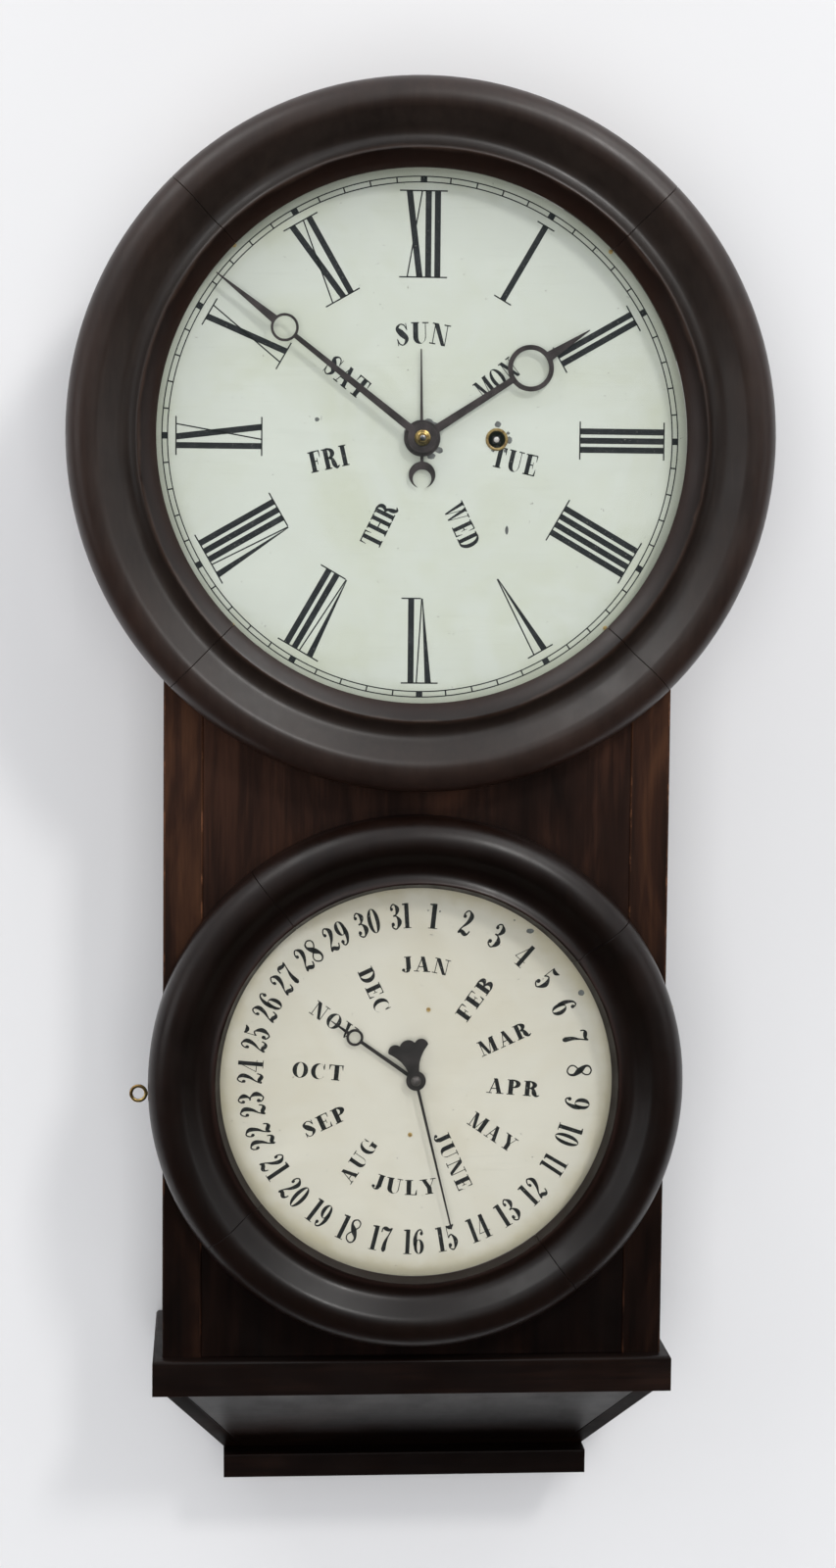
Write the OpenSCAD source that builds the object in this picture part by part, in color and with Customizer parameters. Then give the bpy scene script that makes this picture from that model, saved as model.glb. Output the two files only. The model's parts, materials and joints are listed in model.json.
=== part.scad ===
// Wall calendar clock with two round dials in turned bezels.
// Origin: centre of the hanging hole, on the wall plane. Front toward -Y, up +Z. Millimetres.

/* [Case] */
// Width over the side boards
case_w = 295.6; // [290:0.1:310]
// Depth from the wall to the front of the case
case_d = 105; // [102:0.5:115]
// Thickness of the side boards
side_t = 23; // [18:0.5:24]
// Thickness of the front panel
panel_t = 12; // [10:0.5:14]
// Thickness of the back board
back_t = 10; // [8:0.5:12]
// Thickness of the top board
top_t = 12; // [8:0.5:16]
// Hanging hole down to the centre of the clock dial
dial_drop = 160; // [150:1:165]
// Centre of the clock dial up to the top of the case
head_h = 132; // [125:1:138]
// Centre of the clock dial down to the centre of the calendar dial
dial_gap = 373.8; // [370:0.1:400]
// Centre of the calendar dial down to the top of the ledge
foot_gap = 165.5; // [160:0.5:200]
// Width of panel left beside its opening behind the clock dial
panel_rail = 12.8; // [8:0.1:16]
// Radius of the front panel's opening behind the calendar dial
panel_low_r = 50; // [45:0.5:56]

/* [Base] */
// Thickness of the ledge
ledge_t = 21; // [16:0.5:26]
// Ledge's reach past the case front
ledge_front = 8; // [4:0.5:14]
// Ledge's reach past each case side
ledge_side = 5.6; // [3:0.1:12]
// Rounding of the ledge's upper edge
ledge_round = 2; // [1:0.5:3]
// Height of the sloping base boards
slope_h = 55.7; // [40:0.1:70]
// Thickness of the sloping base boards, measured level
slope_t = 12; // [8:0.5:16]
// Depth of the base at the foot of the slope
slope_foot_d = 36; // [30:0.5:60]
// How far each sloping side runs in
slope_in = 37.3; // [20:0.1:45]
// Thickness of the plinth
plinth_t = 14.2; // [10:0.1:20]
// Plinth's reach in front of the slope's foot
plinth_front = 14; // [4:0.5:20]
// Plinth's reach past each side of the slope's foot
plinth_side = 0.6; // [0.2:0.1:6]

/* [Clock bezel] */
// Radius of the clock bezel's opening
up_open_r = 152; // [151.8:0.1:152.5]
// Radius of the clock bezel's crest
up_crest_r = 189; // [187:0.5:195]
// Outer rounding radius of the clock bezel
up_out_r = 14.2; // [12:0.1:14.6]
// Thickness of the clock bezel at its crest
up_t = 31.2; // [30.8:0.1:34]
// Height of the clock bezel's inner lip
up_lip_h = 25; // [23:0.5:27]
// Width of the clock bezel's inner bevel
up_bevel_w = 9.5; // [6:0.5:10]

/* [Calendar bezel] */
// Radius of the calendar bezel's opening
low_open_r = 114.5; // [113.5:0.1:114.8]
// Radius of the calendar bezel's crest
low_crest_r = 141; // [140:0.5:142]
// Outer rounding radius of the calendar bezel
low_out_r = 15.2; // [14:0.1:15.2]
// Thickness of the calendar bezel at its crest
low_t = 28; // [27.9:0.1:32]
// Height of the calendar bezel's inner lip
low_lip_h = 20; // [18:0.5:22]
// Width of the calendar bezel's inner bevel
low_bevel_w = 2.7; // [2:0.1:3.5]

/* [Doors] */
// Gap between a closed bezel and the case front
door_gap = 0.3; // [0.2:0.1:0.6]
// Joint gap between two segments of a bezel
seam = 0.1; // [0.05:0.05:0.2]
// Thickness of the glasses
glass_t = 2; // [1.8:0.1:2.4]
// Clearance round and behind a glass
glass_gap = 0.1; // [0.05:0.05:0.3]
// Thickness of the bead behind each glass
bead_t = 1.8; // [1:0.1:2.2]
// Width of the bead
bead_w = 3.6; // [3:0.1:4]
// Distance from the case side to the hinge axis
hinge_out = 2.6; // [2.5:0.1:3]
// Distance from the case front back to the hinge axis
hinge_back = 2.6; // [2.5:0.1:3]
// Radius of a hinge knuckle
knuckle_r = 2.2; // [2:0.1:2.3]
// Radius of a hinge pin
hinge_pin_r = 1; // [0.8:0.05:1.2]
// Length of a hinge
hinge_h = 25.5; // [21:0.3:27]
// Width of a hinge leaf
leaf_w = 16; // [12:0.5:18]
// Thickness of a hinge leaf
leaf_t = 1.2; // [1:0.1:1.4]
// Distance from a clock door hinge to the rim of the glass's rebate
hinge_clear = 4; // [2:0.5:5]
// Calendar door hinges' distance above and below its centre
low_hinge_z = 30; // [28:0.5:31]
// Inside radius of the brass loop
loop_r = 3.3; // [3:0.1:4]
// Wire radius of the brass loop
loop_wire_r = 1; // [0.8:0.05:1.2]
// Brass loop's distance below the calendar's centre
loop_drop = 6.5; // [0:0.5:12]

/* [Dials] */
// Gap between a dial's rim and the rebate of the bezel round it
dial_rim_gap = 2.5; // [1.5:0.1:3]
// Depth of the bezels' rebates past their openings
rebate = 5; // [4.5:0.1:5.5]
// Thickness of the dial plates
dial_t = 1; // [0.6:0.1:1.2]
// Radius of the hole for the clock hands
dial_hole_r = 4.5; // [4.3:0.1:6]
// Radius of the hole for the calendar hands
cal_hole_r = 4.5; // [3.5:0.1:6]
// Radius of the winding hole in the dial
wind_hole_r = 5.6; // [5.3:0.1:7]
// Inside radius of the winding hole's grommet
grommet_r = 4.9; // [4.6:0.1:5]
// Width of the grommet's flange past the hole
grommet_rim = 0.9; // [0.6:0.1:1.5]
// Height of the grommet above the dial
grommet_h = 1; // [0.5:0.1:1.4]

/* [Clock hands] */
// Gap between the minute hand's tip and the bezel's opening
minute_clear = 2; // [1:0.5:10]
// Length of the hour hand
hour_len = 115; // [100:0.5:125]
// Length of the weekday hand
week_len = 51; // [40:0.5:60]
// Thickness of the hands
hand_t = 1; // [0.6:0.1:1.2]
// Clearance between neighbouring hands
hand_gap = 1.4; // [1:0.1:1.8]
// Minute hand's angle, clockwise from twelve
minute_at = 307.9; // [0:0.1:360]
// Hour hand's angle, clockwise from twelve
hour_at = 56.8; // [0:0.1:360]
// Weekday hand's angle, clockwise from the top
week_at = -0.9; // [-180:0.1:180]
// Radius of the brass nut
nut_r = 4.2; // [3.5:0.1:5]
// Height of the brass nut
nut_h = 2.2; // [1.5:0.1:2.4]

/* [Calendar hands] */
// Gap between the date hand's tip and the bezel's opening
date_clear = 23.5; // [15:0.5:32]
// Length of the month hand
month_len = 61; // [50:0.5:70]
// Date hand's angle, clockwise from the top
date_at = 166.2; // [0:0.1:360]
// Month hand's angle, clockwise from the top
month_at = 305.2; // [0:0.1:360]

/* [Movement] */
// Thickness of the brass plates
plate_t = 2; // [1.5:0.1:2.5]
// Distance between the movement plates
plate_gap = 38; // [38:0.5:39]
// Front panel's back down to the movement's front plate
motion_gap = 15; // [15:0.1:16]
// Winding arbor's distance from the centre
wind_x = 43.6; // [42:0.1:45]
// Radius of the winding arbor
wind_r = 2.8; // [2.4:0.1:3.2]
// Width of the winding arbor's square
wind_sq = 4.6; // [3.6:0.1:4.8]
// Radius of the centre arbor
centre_r = 1.6; // [1.3:0.1:1.8]
// Radius of the small arbors
arbor_r = 1.1; // [0.9:0.1:1.3]
// Radius of the small arbors' pivots
pivot_r = 0.7; // [0.5:0.1:0.8]
// Wall of the hands' pipes
pipe_t = 0.9; // [0.7:0.1:1]
// Running clearance of arbors, pipes and pins
run = 0.06; // [0.03:0.01:0.09]
// Free play between moving faces
play = 0.3; // [0.2:0.1:0.4]
// Teeth of the escape wheel
escape_teeth = 40; // [36:1:42]
// Tip radius of the escape wheel
escape_r = 15; // [14:0.1:15.2]
// Outer radius of the mainspring
spring_r = 30; // [26:0.5:30.5]
// Width of the mainspring
spring_w = 18; // [14:0.5:18]
// Turns of the mainspring
spring_turns = 7; // [5:1:8]
// Radius of the plate pillars
pillar_r = 3; // [2.5:0.1:4]

/* [Pendulum] */
// Suspension point's height above the centre arbor
hang_h = 52; // [51.5:0.1:53]
// Suspension point down to the middle of the bob
bob_drop = 358; // [340:0.5:365]
// Radius of the bob
bob_r = 26; // [20:0.5:30]
// Thickness of the bob
bob_t = 12; // [9:0.5:13]
// Radius of the pendulum rod
rod_r = 1; // [0.8:0.1:1.1]
// Length of the crutch
crutch_len = 40; // [35:0.5:48]

/* [Calendar train] */
// Pitch radius of the date wheel
date_wheel_r = 37; // [35:0.5:38]
// Length of the levers' outer arms
arm_len = 20; // [19:0.5:22]
// Lever pivots' distance left of the centre line
lever_x = 22; // [21:0.5:23]
// Trip lever pivot's distance below the clock centre
trip_drop = 36; // [35.6:0.1:38]
// Date lever pivot's height above the calendar centre
date_lever_h = 56; // [55:0.5:60]
// Radius of the lever studs
stud_r = 1.5; // [1.2:0.1:1.6]
// Radius of the connecting rod
link_r = 1; // [0.8:0.1:1.2]
// Thickness of the levers and thin wheels
wheel_t = 1.4; // [1:0.1:1.4]

/* [Fasteners] */
// Radius of a wood screw's shank
screw_r = 1.6; // [1.2:0.1:1.8]
// Radius of a wood screw's head
screw_head_r = 3.2; // [2.6:0.1:3.5]
// Length of a wood screw
screw_len = 12; // [9:0.5:14]
// Radius of the hanging hole
hang_r = 4; // [3:0.1:5]
// Thickness of the hanger plate
hanger_t = 2; // [1.5:0.1:3]
// Half width of the hanger plate
hanger_w = 18; // [15:0.5:25]

/* [Hidden] */
$fn = 72;

// Heights
dial_z = -dial_drop;
cal_z = dial_z - dial_gap;
ledge_z = cal_z - foot_gap;
top_z = dial_z + head_h;
slope_z = ledge_z - ledge_t;
plinth_z = slope_z - slope_h;
// Widths and planes; more negative y is nearer the viewer
half_w = case_w / 2;
in_w = half_w - side_t;
front_y = -case_d;
pb = front_y + panel_t;
mf = pb + motion_gap;
mi = mf + plate_t;
bi = mi + plate_gap;
mb = bi + plate_t;
pend_y = (mb - back_t) / 2;
ring_y = front_y - door_gap;
dial_f = front_y - dial_t;
foot_w = half_w - slope_in;
panel_hole_r = in_w - panel_rail;
// Lever plane, shared by both levers, the cam and the date wheel
lev0 = pb + 12;
lev1 = lev0 + wheel_t;
// Hands, from the dial outward
week_y1 = dial_f - 2;
week_y0 = week_y1 - 0.8;
hour_y1 = week_y0 - hand_gap;
hour_y0 = hour_y1 - hand_t;
minute_y1 = hour_y0 - hand_gap - 0.4;
minute_y0 = minute_y1 - hand_t;
nut_y0 = minute_y0 - nut_h;
arbor_tip = nut_y0 - 1.1;
month_y1 = dial_f - 2;
month_y0 = month_y1 - 0.8;
date_y1 = month_y0 - hand_gap - 0.2;
date_y0 = date_y1 - 0.8;
date_tip = date_y0 - 2.3;
// Bezel seats, measured forward from the bezel's back
up_seat = up_t - up_out_r - 1;
low_seat = low_t - low_out_r - 0.8;
up_reb = up_open_r + rebate;
low_reb = low_open_r + rebate - 0.5;
dial_r = up_reb - dial_rim_gap;
cal_dial_r = low_reb - dial_rim_gap + 1;
minute_len = up_open_r - minute_clear;
date_len = low_open_r - date_clear;
// Hinge axis
hx = half_w + hinge_out;
hy = front_y + hinge_back;
leaf_x = hx - leaf_w;
up_hinge_z = sqrt(max(0, up_reb * up_reb - leaf_x * leaf_x)) + hinge_h / 2 + hinge_clear;
up_hinges = [dial_z - up_hinge_z, dial_z + up_hinge_z];
low_hinges = [cal_z - low_hinge_z, cal_z + low_hinge_z];
// Gear sizes
m_great = 2 * wind_x / 91;
m_centre = 0.6;
m_third = 0.55;
third_d = (80 + 8) * m_centre / 2;
esc_d = (60 + 8) * m_third / 2;
third_a = 125;
third_x = third_d * cos(third_a);
third_z = third_d * sin(third_a);
esc_x = 0;
esc_z = third_z + sqrt(esc_d * esc_d - third_x * third_x);
esc_a = atan2(esc_z - third_z, esc_x - third_x);
mot_d = 18;
mot_a = 160;
mot_x = mot_d * cos(mot_a);
mot_z = mot_d * sin(mot_a);
day_d = (24 + 48) * 0.7 / 2;
red_d = 21;
// Rest angles that put every pair of wheels in mesh, anticlockwise from the front
function mesh_rot(rot_a, za, zb, dir) = dir + 180 + ((dir - rot_a) * za / 360 + 0.5) * 360 / zb;
rot_great = mesh_rot(0, 7, 84, 0);
rot_third = mesh_rot(0, 80, 8, third_a);
rot_esc = mesh_rot(rot_third, 60, 8, esc_a);
rot_minute = mesh_rot(0, 12, 36, mot_a);
rot_hour = mesh_rot(rot_minute, 10, 40, mot_a + 180);
rot_day = mesh_rot(rot_hour, 24, 48, -90);
rot_red = mesh_rot(0, 12, 48, -90);
rot_month = mesh_rot(rot_red, 12, 36, 90);
// Pipes
hour_in = centre_r + run;
hour_out = hour_in + pipe_t;
week_in = hour_out + run;
week_out = week_in + pipe_t;
date_ar = 1.5;
month_in = date_ar + run;
month_out = month_in + pipe_t;
// Plate outline
pl_x0 = -36;
pl_x1 = wind_x + 42.4;
pl_z0 = -58;
pl_z1 = 62;
ear = 10;
ear_z = 44;
pill = [[pl_x0 + 6, pl_z0 + 6], [pl_x0 + 6, pl_z1 - 6], [pl_x1 - 6, pl_z0 + 6], [pl_x1 - 6, pl_z1 - 6]];
ears = [[pl_x0 - ear / 2, -ear_z], [pl_x0 - ear / 2, ear_z], [pl_x1 + ear / 2, -ear_z], [pl_x1 + ear / 2, ear_z]];
cal_w = 72;
bridge_z = date_wheel_r + 7;
cal_pill = [for (x = [12 - cal_w, cal_w - 12], z = [-bridge_z, bridge_z]) [x, z]];
cal_up = date_lever_h + 10;
cal_dn = 62;

wood_dark = [0.10, 0.065, 0.055];
wood_trunk = [0.20, 0.10, 0.07];
wood_base = [0.08, 0.055, 0.05];
wood_raw = [0.52, 0.36, 0.20];
brass = [0.72, 0.56, 0.28];
steel = [0.50, 0.50, 0.52];
blued = [0.10, 0.11, 0.16];

// Extrudes a front-view outline (x right, y up) between two planes of depth
module slab(y0, y1) {
    translate([0, y1, 0])
        rotate([90, 0, 0])
            linear_extrude(y1 - y0)
                children();
}

// A round bar along Y at x, z
module bar(x, z, y0, y1, r) {
    translate([x, y0, z])
        rotate([-90, 0, 0])
            cylinder(r = r, h = y1 - y0);
}

// Box between two corners
module box(a, b) {
    translate(a)
        cube(b - a);
}

// Front-view rectangle with rounded corners
module rrect(x0, x1, z0, z1, r) {
    translate([x0 + r, z0])
        square([x1 - x0 - 2 * r, z1 - z0]);
    translate([x0, z0 + r])
        square([x1 - x0, z1 - z0 - 2 * r]);
    for (x = [x0 + r, x1 - r], z = [z0 + r, z1 - r])
        translate([x, z])
            circle(r);
}

// Toothed outline with four points to a tooth
function half_tip(z) = (81 - 31.9) / z;
function half_root(z) = (81 + 16.1) / z;
function polar(r, a) = [r * cos(a), r * sin(a)];
function gear_pts(z, m) = [for (k = [0 : z - 1], j = [0 : 3]) polar(z * m / 2 + (j == 0 || j == 3 ? -1.1 : 0.85) * m, 360 * k / z + [-half_root(z), -half_tip(z), half_tip(z), half_root(z)][j])];

// A wheel's outline, pierced with spokes
module wheel(z, m, rim, hub, arms) {
    rr = z * m / 2 - 1.1 * m - rim;
    difference() {
        polygon(gear_pts(z, m));
        circle(rr);
    }
    circle(hub);
    for (k = [0 : arms - 1])
        rotate(k * 360 / arms)
            translate([hub / 2, -1.2])
                square([rr + 0.5 * rim - hub / 2, 2.4]);
}

// A lantern pinion: pins between two shrouds, along Y
module lantern(n, m, pin, y0, y1, rot) {
    rp = n * m / 2;
    bar(0, 0, y0, y0 + 1, rp + pin + 0.5);
    bar(0, 0, y1 - 1, y1, rp + pin + 0.5);
    for (k = [0 : n - 1])
        bar(rp * cos(rot + 360 * k / n), rp * sin(rot + 360 * k / n), y0 + 0.5, y1 - 0.5, pin);
}

// A small arbor between the movement plates, with its pivots
module arbor(r) {
    bar(0, 0, mi + play, bi - play, r);
    bar(0, 0, mf - 0.4, mb + 0.4, pivot_r);
}

// A wood screw along Y, its head at y; dir 1 points it toward +Y
module screw(x, z, y, dir, len) {
    translate([x, y, z])
        rotate([-90 * dir, 0, 0]) {
            cylinder(r1 = screw_head_r, r2 = screw_r, h = 1.6);
            cylinder(r = screw_r, h = len - 3);
            translate([0, 0, len - 3])
                cylinder(r1 = screw_r, r2 = 0.3, h = 3);
        }
}

// The hole that such a screw sits in
module screw_hole(x, z, y, dir, len) {
    translate([x, y, z])
        rotate([-90 * dir, 0, 0]) {
            translate([0, 0, -0.01])
                cylinder(r1 = screw_head_r + run + 0.01, r2 = screw_r + run, h = 1.61 + run);
            cylinder(r = screw_r + run, h = len + 0.3);
        }
}

hanger_screws = [[-10, top_z - 12], [10, top_z - 12], [-10, top_z - 24], [10, top_z - 24]];
cal_screws = [[-cal_w + 6, cal_up - 6], [cal_w - 6, cal_up - 6], [-cal_w + 6, -cal_dn + 6], [cal_w - 6, -cal_dn + 6]];

module back_board() {
    color(wood_raw)
        difference() {
            box([-in_w, -back_t, ledge_z], [in_w, 0, top_z]);
            box([-hanger_w - run, -hanger_t - run, top_z - 32 - run], [hanger_w + run, 1, top_z + 1]);
            for (s = hanger_screws)
                bar(s[0], s[1], 0.7 - back_t, 0, screw_r + run);
        }
}

module side_boards() {
    color(wood_trunk)
        difference() {
            for (s = [-1, 1])
                box([s > 0 ? in_w : -half_w, front_y, ledge_z], [s > 0 ? half_w : -in_w, 0, top_z]);
            for (z = concat(up_hinges, low_hinges), s = [-1, 1])
                translate([half_w + 1, hy + knuckle_r + 7, z + s * hinge_h * 0.32])
                    rotate([0, -90, 0])
                        cylinder(r = 1 + run, h = 9.2);
        }
}

module top_board() {
    color(wood_raw)
        box([-in_w, pb, top_z - top_t], [in_w, -back_t, top_z]);
}

module front_panel() {
    color(wood_trunk)
        difference() {
            box([-in_w, front_y, ledge_z], [in_w, pb, top_z]);
            bar(0, dial_z, front_y - 1, pb + 1, panel_hole_r);
            bar(0, cal_z, front_y - 1, pb + 1, panel_low_r);
            for (s = cal_screws)
                bar(s[0], cal_z + s[1], pb + plate_t - screw_len - 0.3, pb + 1, screw_r + run);
            for (p = pins_up)
                bar(p[0], dial_z + p[1], dial_f - 1, front_y + 7.3, 0.8 + run);
            for (p = pins_low)
                bar(p[0], cal_z + p[1], dial_f - 1, front_y + 7.3, 0.8 + run);
        }
}

// Outline of a board with its two upper corners rounded
module eased(w0, w1, h, r) {
    translate([w0, -h])
        square([w1 - w0, h - r]);
    translate([w0 + r, -r - 0.01])
        square([w1 - w0 - 2 * r, r + 0.01]);
    for (x = [w0 + r, w1 - r])
        translate([x, -r])
            circle(r);
}

module ledge() {
    color(wood_base)
        intersection() {
            translate([0, 0, ledge_z])
                slab(front_y - ledge_front - 5, 0)
                    eased(-half_w - ledge_side, half_w + ledge_side, ledge_t, ledge_round);
            translate([-half_w - ledge_side - 5, 0, ledge_z])
                rotate([90, 0, 90])
                    linear_extrude(case_w + 2 * ledge_side + 10)
                        eased(front_y - ledge_front, 20, ledge_t, ledge_round);
        }
}

// Front view of the base between its slopes, run in by t
module slope_front(t) {
    polygon([[-half_w + t, slope_z], [half_w - t, slope_z], [foot_w - t, plinth_z], [-foot_w + t, plinth_z]]);
}

// Side view of the base, run back by t
module slope_side(t) {
    polygon([[front_y + t, slope_z], [0, slope_z], [0, plinth_z], [-slope_foot_d + t, plinth_z]]);
}

module slope_prism(t) {
    translate([-half_w - 5, 0, 0])
        rotate([90, 0, 90])
            linear_extrude(case_w + 10)
                slope_side(t);
}

module base_side_slopes() {
    color(wood_base)
        intersection() {
            slab(front_y - 5, 0)
                difference() {
                    slope_front(0);
                    slope_front(slope_t);
                }
            slope_prism(0);
        }
}

module base_front_slope() {
    color(wood_base)
        difference() {
            intersection() {
                slab(front_y - 5, 0)
                    slope_front(slope_t);
                slope_prism(0);
            }
            slope_prism(slope_t);
        }
}

module base_block() {
    color(wood_raw)
        intersection() {
            slab(front_y - 5, 0)
                slope_front(slope_t);
            slope_prism(slope_t);
        }
}

module plinth() {
    color(wood_base)
        translate([-foot_w - plinth_side, 0, plinth_z])
            rotate([90, 0, 90])
                linear_extrude(2 * (foot_w + plinth_side))
                    difference() {
                        eased(-slope_foot_d - plinth_front, 10, plinth_t, 1);
                        translate([0, -plinth_t - 1])
                            square([20, plinth_t + 2]);
                    }
}

module hanger_plate() {
    color(brass)
        difference() {
            slab(-hanger_t, 0) {
                rrect(-hanger_w, hanger_w, top_z - 32, 2, 2);
                circle(14);
            }
            bar(0, 0, -hanger_t - 1, 1, hang_r);
            for (s = hanger_screws)
                screw_hole(s[0], s[1], 0, -1, back_t - 1);
        }
}

module case_screws() {
    color(steel) {
        for (s = hanger_screws)
            screw(s[0], s[1], 0, -1, back_t - 1);
        for (e = ears)
            screw(e[0], dial_z + e[1], bi, 1, screw_len);
        for (s = cal_screws)
            screw(s[0], cal_z + s[1], pb + plate_t, -1, screw_len);
        for (z = concat(up_hinges, low_hinges), s = [-1, 1])
            translate([half_w + leaf_t, hy + knuckle_r + 7, z + s * hinge_h * 0.32])
                rotate([0, -90, 0]) {
                    cylinder(r1 = 1.9, r2 = 1, h = leaf_t);
                    cylinder(r = 1, h = 9);
                }
    }
}

pins_up = [for (a = [45, 135, 225, 315]) polar(dial_r - 1.4, a)];
pins_low = [polar(42, 80), polar(33, 265)];

module clock_dial() {
    color([0.80, 0.84, 0.79])
        translate([0, 0, dial_z])
            difference() {
                bar(0, 0, dial_f, front_y, dial_r);
                bar(0, 0, dial_f - 1, front_y + 1, dial_hole_r);
                bar(wind_x, 0, dial_f - 1, front_y + 1, wind_hole_r + run);
                for (p = pins_up)
                    bar(p[0], p[1], dial_f - 1, front_y + 1, 0.8 + run);
            }
}

module calendar_dial() {
    color([0.82, 0.81, 0.74])
        translate([0, 0, cal_z])
            difference() {
                bar(0, 0, dial_f, front_y, cal_dial_r);
                bar(0, 0, dial_f - 1, front_y + 1, cal_hole_r);
                for (p = pins_low)
                    bar(p[0], p[1], dial_f - 1, front_y + 1, 0.8 + run);
            }
}

module dial_pins() {
    color(brass) {
        for (p = pins_up) {
            bar(p[0], dial_z + p[1], dial_f, front_y + 7, 0.8);
            bar(p[0], dial_z + p[1], dial_f - 0.6, dial_f, 1.3);
        }
        for (p = pins_low) {
            bar(p[0], cal_z + p[1], dial_f, pb + 1, 0.8);
            bar(p[0], cal_z + p[1], dial_f - 0.6, dial_f, 1.3);
        }
    }
}

module winding_grommet() {
    color(brass)
        translate([wind_x, 0, dial_z])
            difference() {
                union() {
                    bar(0, 0, dial_f, front_y + 0.6, wind_hole_r);
                    bar(0, 0, dial_f - grommet_h, dial_f, wind_hole_r + grommet_rim);
                }
                bar(0, 0, dial_f - 3, front_y + 3, grommet_r);
            }
}

// Face of a turned bezel: radius across, height forward of its back
function arc(cx, cy, r, a0, a1, n) = [for (i = [0 : n]) [cx + r * cos(a0 + (a1 - a0) * i / n), cy + r * sin(a0 + (a1 - a0) * i / n)]];
function dip(x0, h0, x1, h1, deep, n) = [for (i = [1 : n]) [x0 + (x1 - x0) * i / n, h0 + (h1 - h0) * i / n - deep * sin(180 * i / n)]];
function bezel_pts(ri, crest, r_out, turn, t, seat, lip_h, bevel, reb) =
    let (base = t - r_out, lip = ri + bevel + 1.3, cove_w = (crest - lip) * 0.53, x1 = lip + cove_w, r_in = r_out * 0.62, h1 = t - r_in * (1 - cos(turn)) - (crest - r_in * sin(turn) - x1) * tan(turn))
    concat([[crest + r_out, 0]], arc(crest, base, r_out, 0, 90, 8), arc(crest, t - r_in, r_in, 96, 90 + turn, 5), [[x1, h1]], dip(x1, h1, lip, lip_h, (tan(turn) * cove_w - h1 + lip_h) / PI, 9), [[lip - 1.3, lip_h], [ri, base], [ri, seat], [reb, seat], [reb, 0]]);

module bezel_outline(ri, crest, r_out, turn, t, seat, lip_h, bevel, reb) {
    polygon(bezel_pts(ri, crest, r_out, turn, t, seat, lip_h, bevel, reb));
}

// Four glued segments, turned as one ring; first seam at angle a0
module bezel(z, a0, ri, crest, r_out, turn, t, seat, lip_h, bevel, reb, hinges, bored) {
    gap_a = seam / (ri + crest) * 2 * 57.3;
    for (k = [0 : 3])
        difference() {
            translate([0, ring_y, z])
                rotate([90, 0, 0])
                    rotate([0, 0, a0 + 90 * k + gap_a / 2])
                        rotate_extrude(angle = 90 - gap_a)
                            bezel_outline(ri, crest, r_out, turn, t, seat, lip_h, bevel, reb);
            for (h = hinges)
                box([hx - leaf_w - 0.2, ring_y - leaf_t - 0.1, h - hinge_h / 2 - 0.2], [hx + leaf_t + 0.2, ring_y + 1, h + hinge_h / 2 + 0.2]);
            if (bored)
                bar_x(-low_crest_r - low_out_r - 4, -low_crest_r - 1.7, cal_z - loop_drop, loop_wire_r + run);
        }
}

// The bore and shank of the brass loop, along X
module bar_x(x0, x1, z, r) {
    translate([x0, ring_y - 6, z])
        rotate([0, 90, 0])
            cylinder(r = r, h = x1 - x0);
}

module clock_bezel() {
    color(wood_dark)
        bezel(dial_z, 45, up_open_r, up_crest_r, up_out_r, 36, up_t, up_seat, up_lip_h, up_bevel_w, up_reb, up_hinges, false);
}

module calendar_bezel() {
    color(wood_dark)
        bezel(cal_z, 38, low_open_r, low_crest_r, low_out_r, 42, low_t, low_seat, low_lip_h, low_bevel_w, low_reb, low_hinges, true);
}

// Glass disc resting behind a bezel's shoulder
module pane(z, seat, reb) {
    color([0.85, 0.9, 0.9, 0.3])
        bar(0, z, ring_y - seat + glass_gap, ring_y - seat + glass_gap + glass_t, reb - glass_gap);
}

// Bead that holds the glass from behind
module bead(z, seat, reb) {
    y0 = ring_y - seat + 2 * glass_gap + glass_t;
    color(steel)
        difference() {
            bar(0, z, y0, y0 + bead_t, reb - glass_gap);
            bar(0, z, y0 - 1, y0 + bead_t + 1, reb - bead_w);
        }
}

module clock_glass() {
    pane(dial_z, up_seat, up_reb);
}

module clock_glass_bead() {
    bead(dial_z, up_seat, up_reb);
}

module calendar_glass() {
    pane(cal_z, low_seat, low_reb);
}

module calendar_glass_bead() {
    bead(cal_z, low_seat, low_reb);
}

// Knuckles of one hinge: the outer two thirds or the middle third
module knuckles(z, mid) {
    third = hinge_h / 3;
    for (k = mid ? [0] : [-1, 1])
        translate([hx, hy, z + k * third - third / 2 + 0.1])
            cylinder(r = knuckle_r, h = third - 0.2);
}

module hinge_bores(hinges) {
    for (h = hinges)
        translate([hx, hy, h - hinge_h])
            cylinder(r = hinge_pin_r + run, h = 2 * hinge_h);
}

module hinge_case_leaves() {
    color(brass)
        difference() {
            for (z = concat(up_hinges, low_hinges)) {
                knuckles(z, false);
                difference() {
                    box([half_w, hy, z - hinge_h / 2 + 0.1], [half_w + leaf_t, hy + leaf_w, z + hinge_h / 2 - 0.1]);
                    box([half_w - 1, hy - 1, z - hinge_h / 6 - 0.1], [half_w + 3, hy + knuckle_r + 0.6, z + hinge_h / 6 + 0.1]);
                }
                for (k = [-1, 1])
                    box([half_w, hy, z + k * hinge_h / 3 - hinge_h / 6 + 0.1], [hx, hy + leaf_t, z + k * hinge_h / 3 + hinge_h / 6 - 0.1]);
            }
            hinge_bores(concat(up_hinges, low_hinges));
            for (z = concat(up_hinges, low_hinges), s = [-1, 1])
                translate([half_w + leaf_t + 0.01, hy + knuckle_r + 7, z + s * hinge_h * 0.32])
                    rotate([0, -90, 0])
                        cylinder(r1 = 1.9 + run, r2 = 1 + run, h = leaf_t + 0.02);
        }
}

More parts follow.
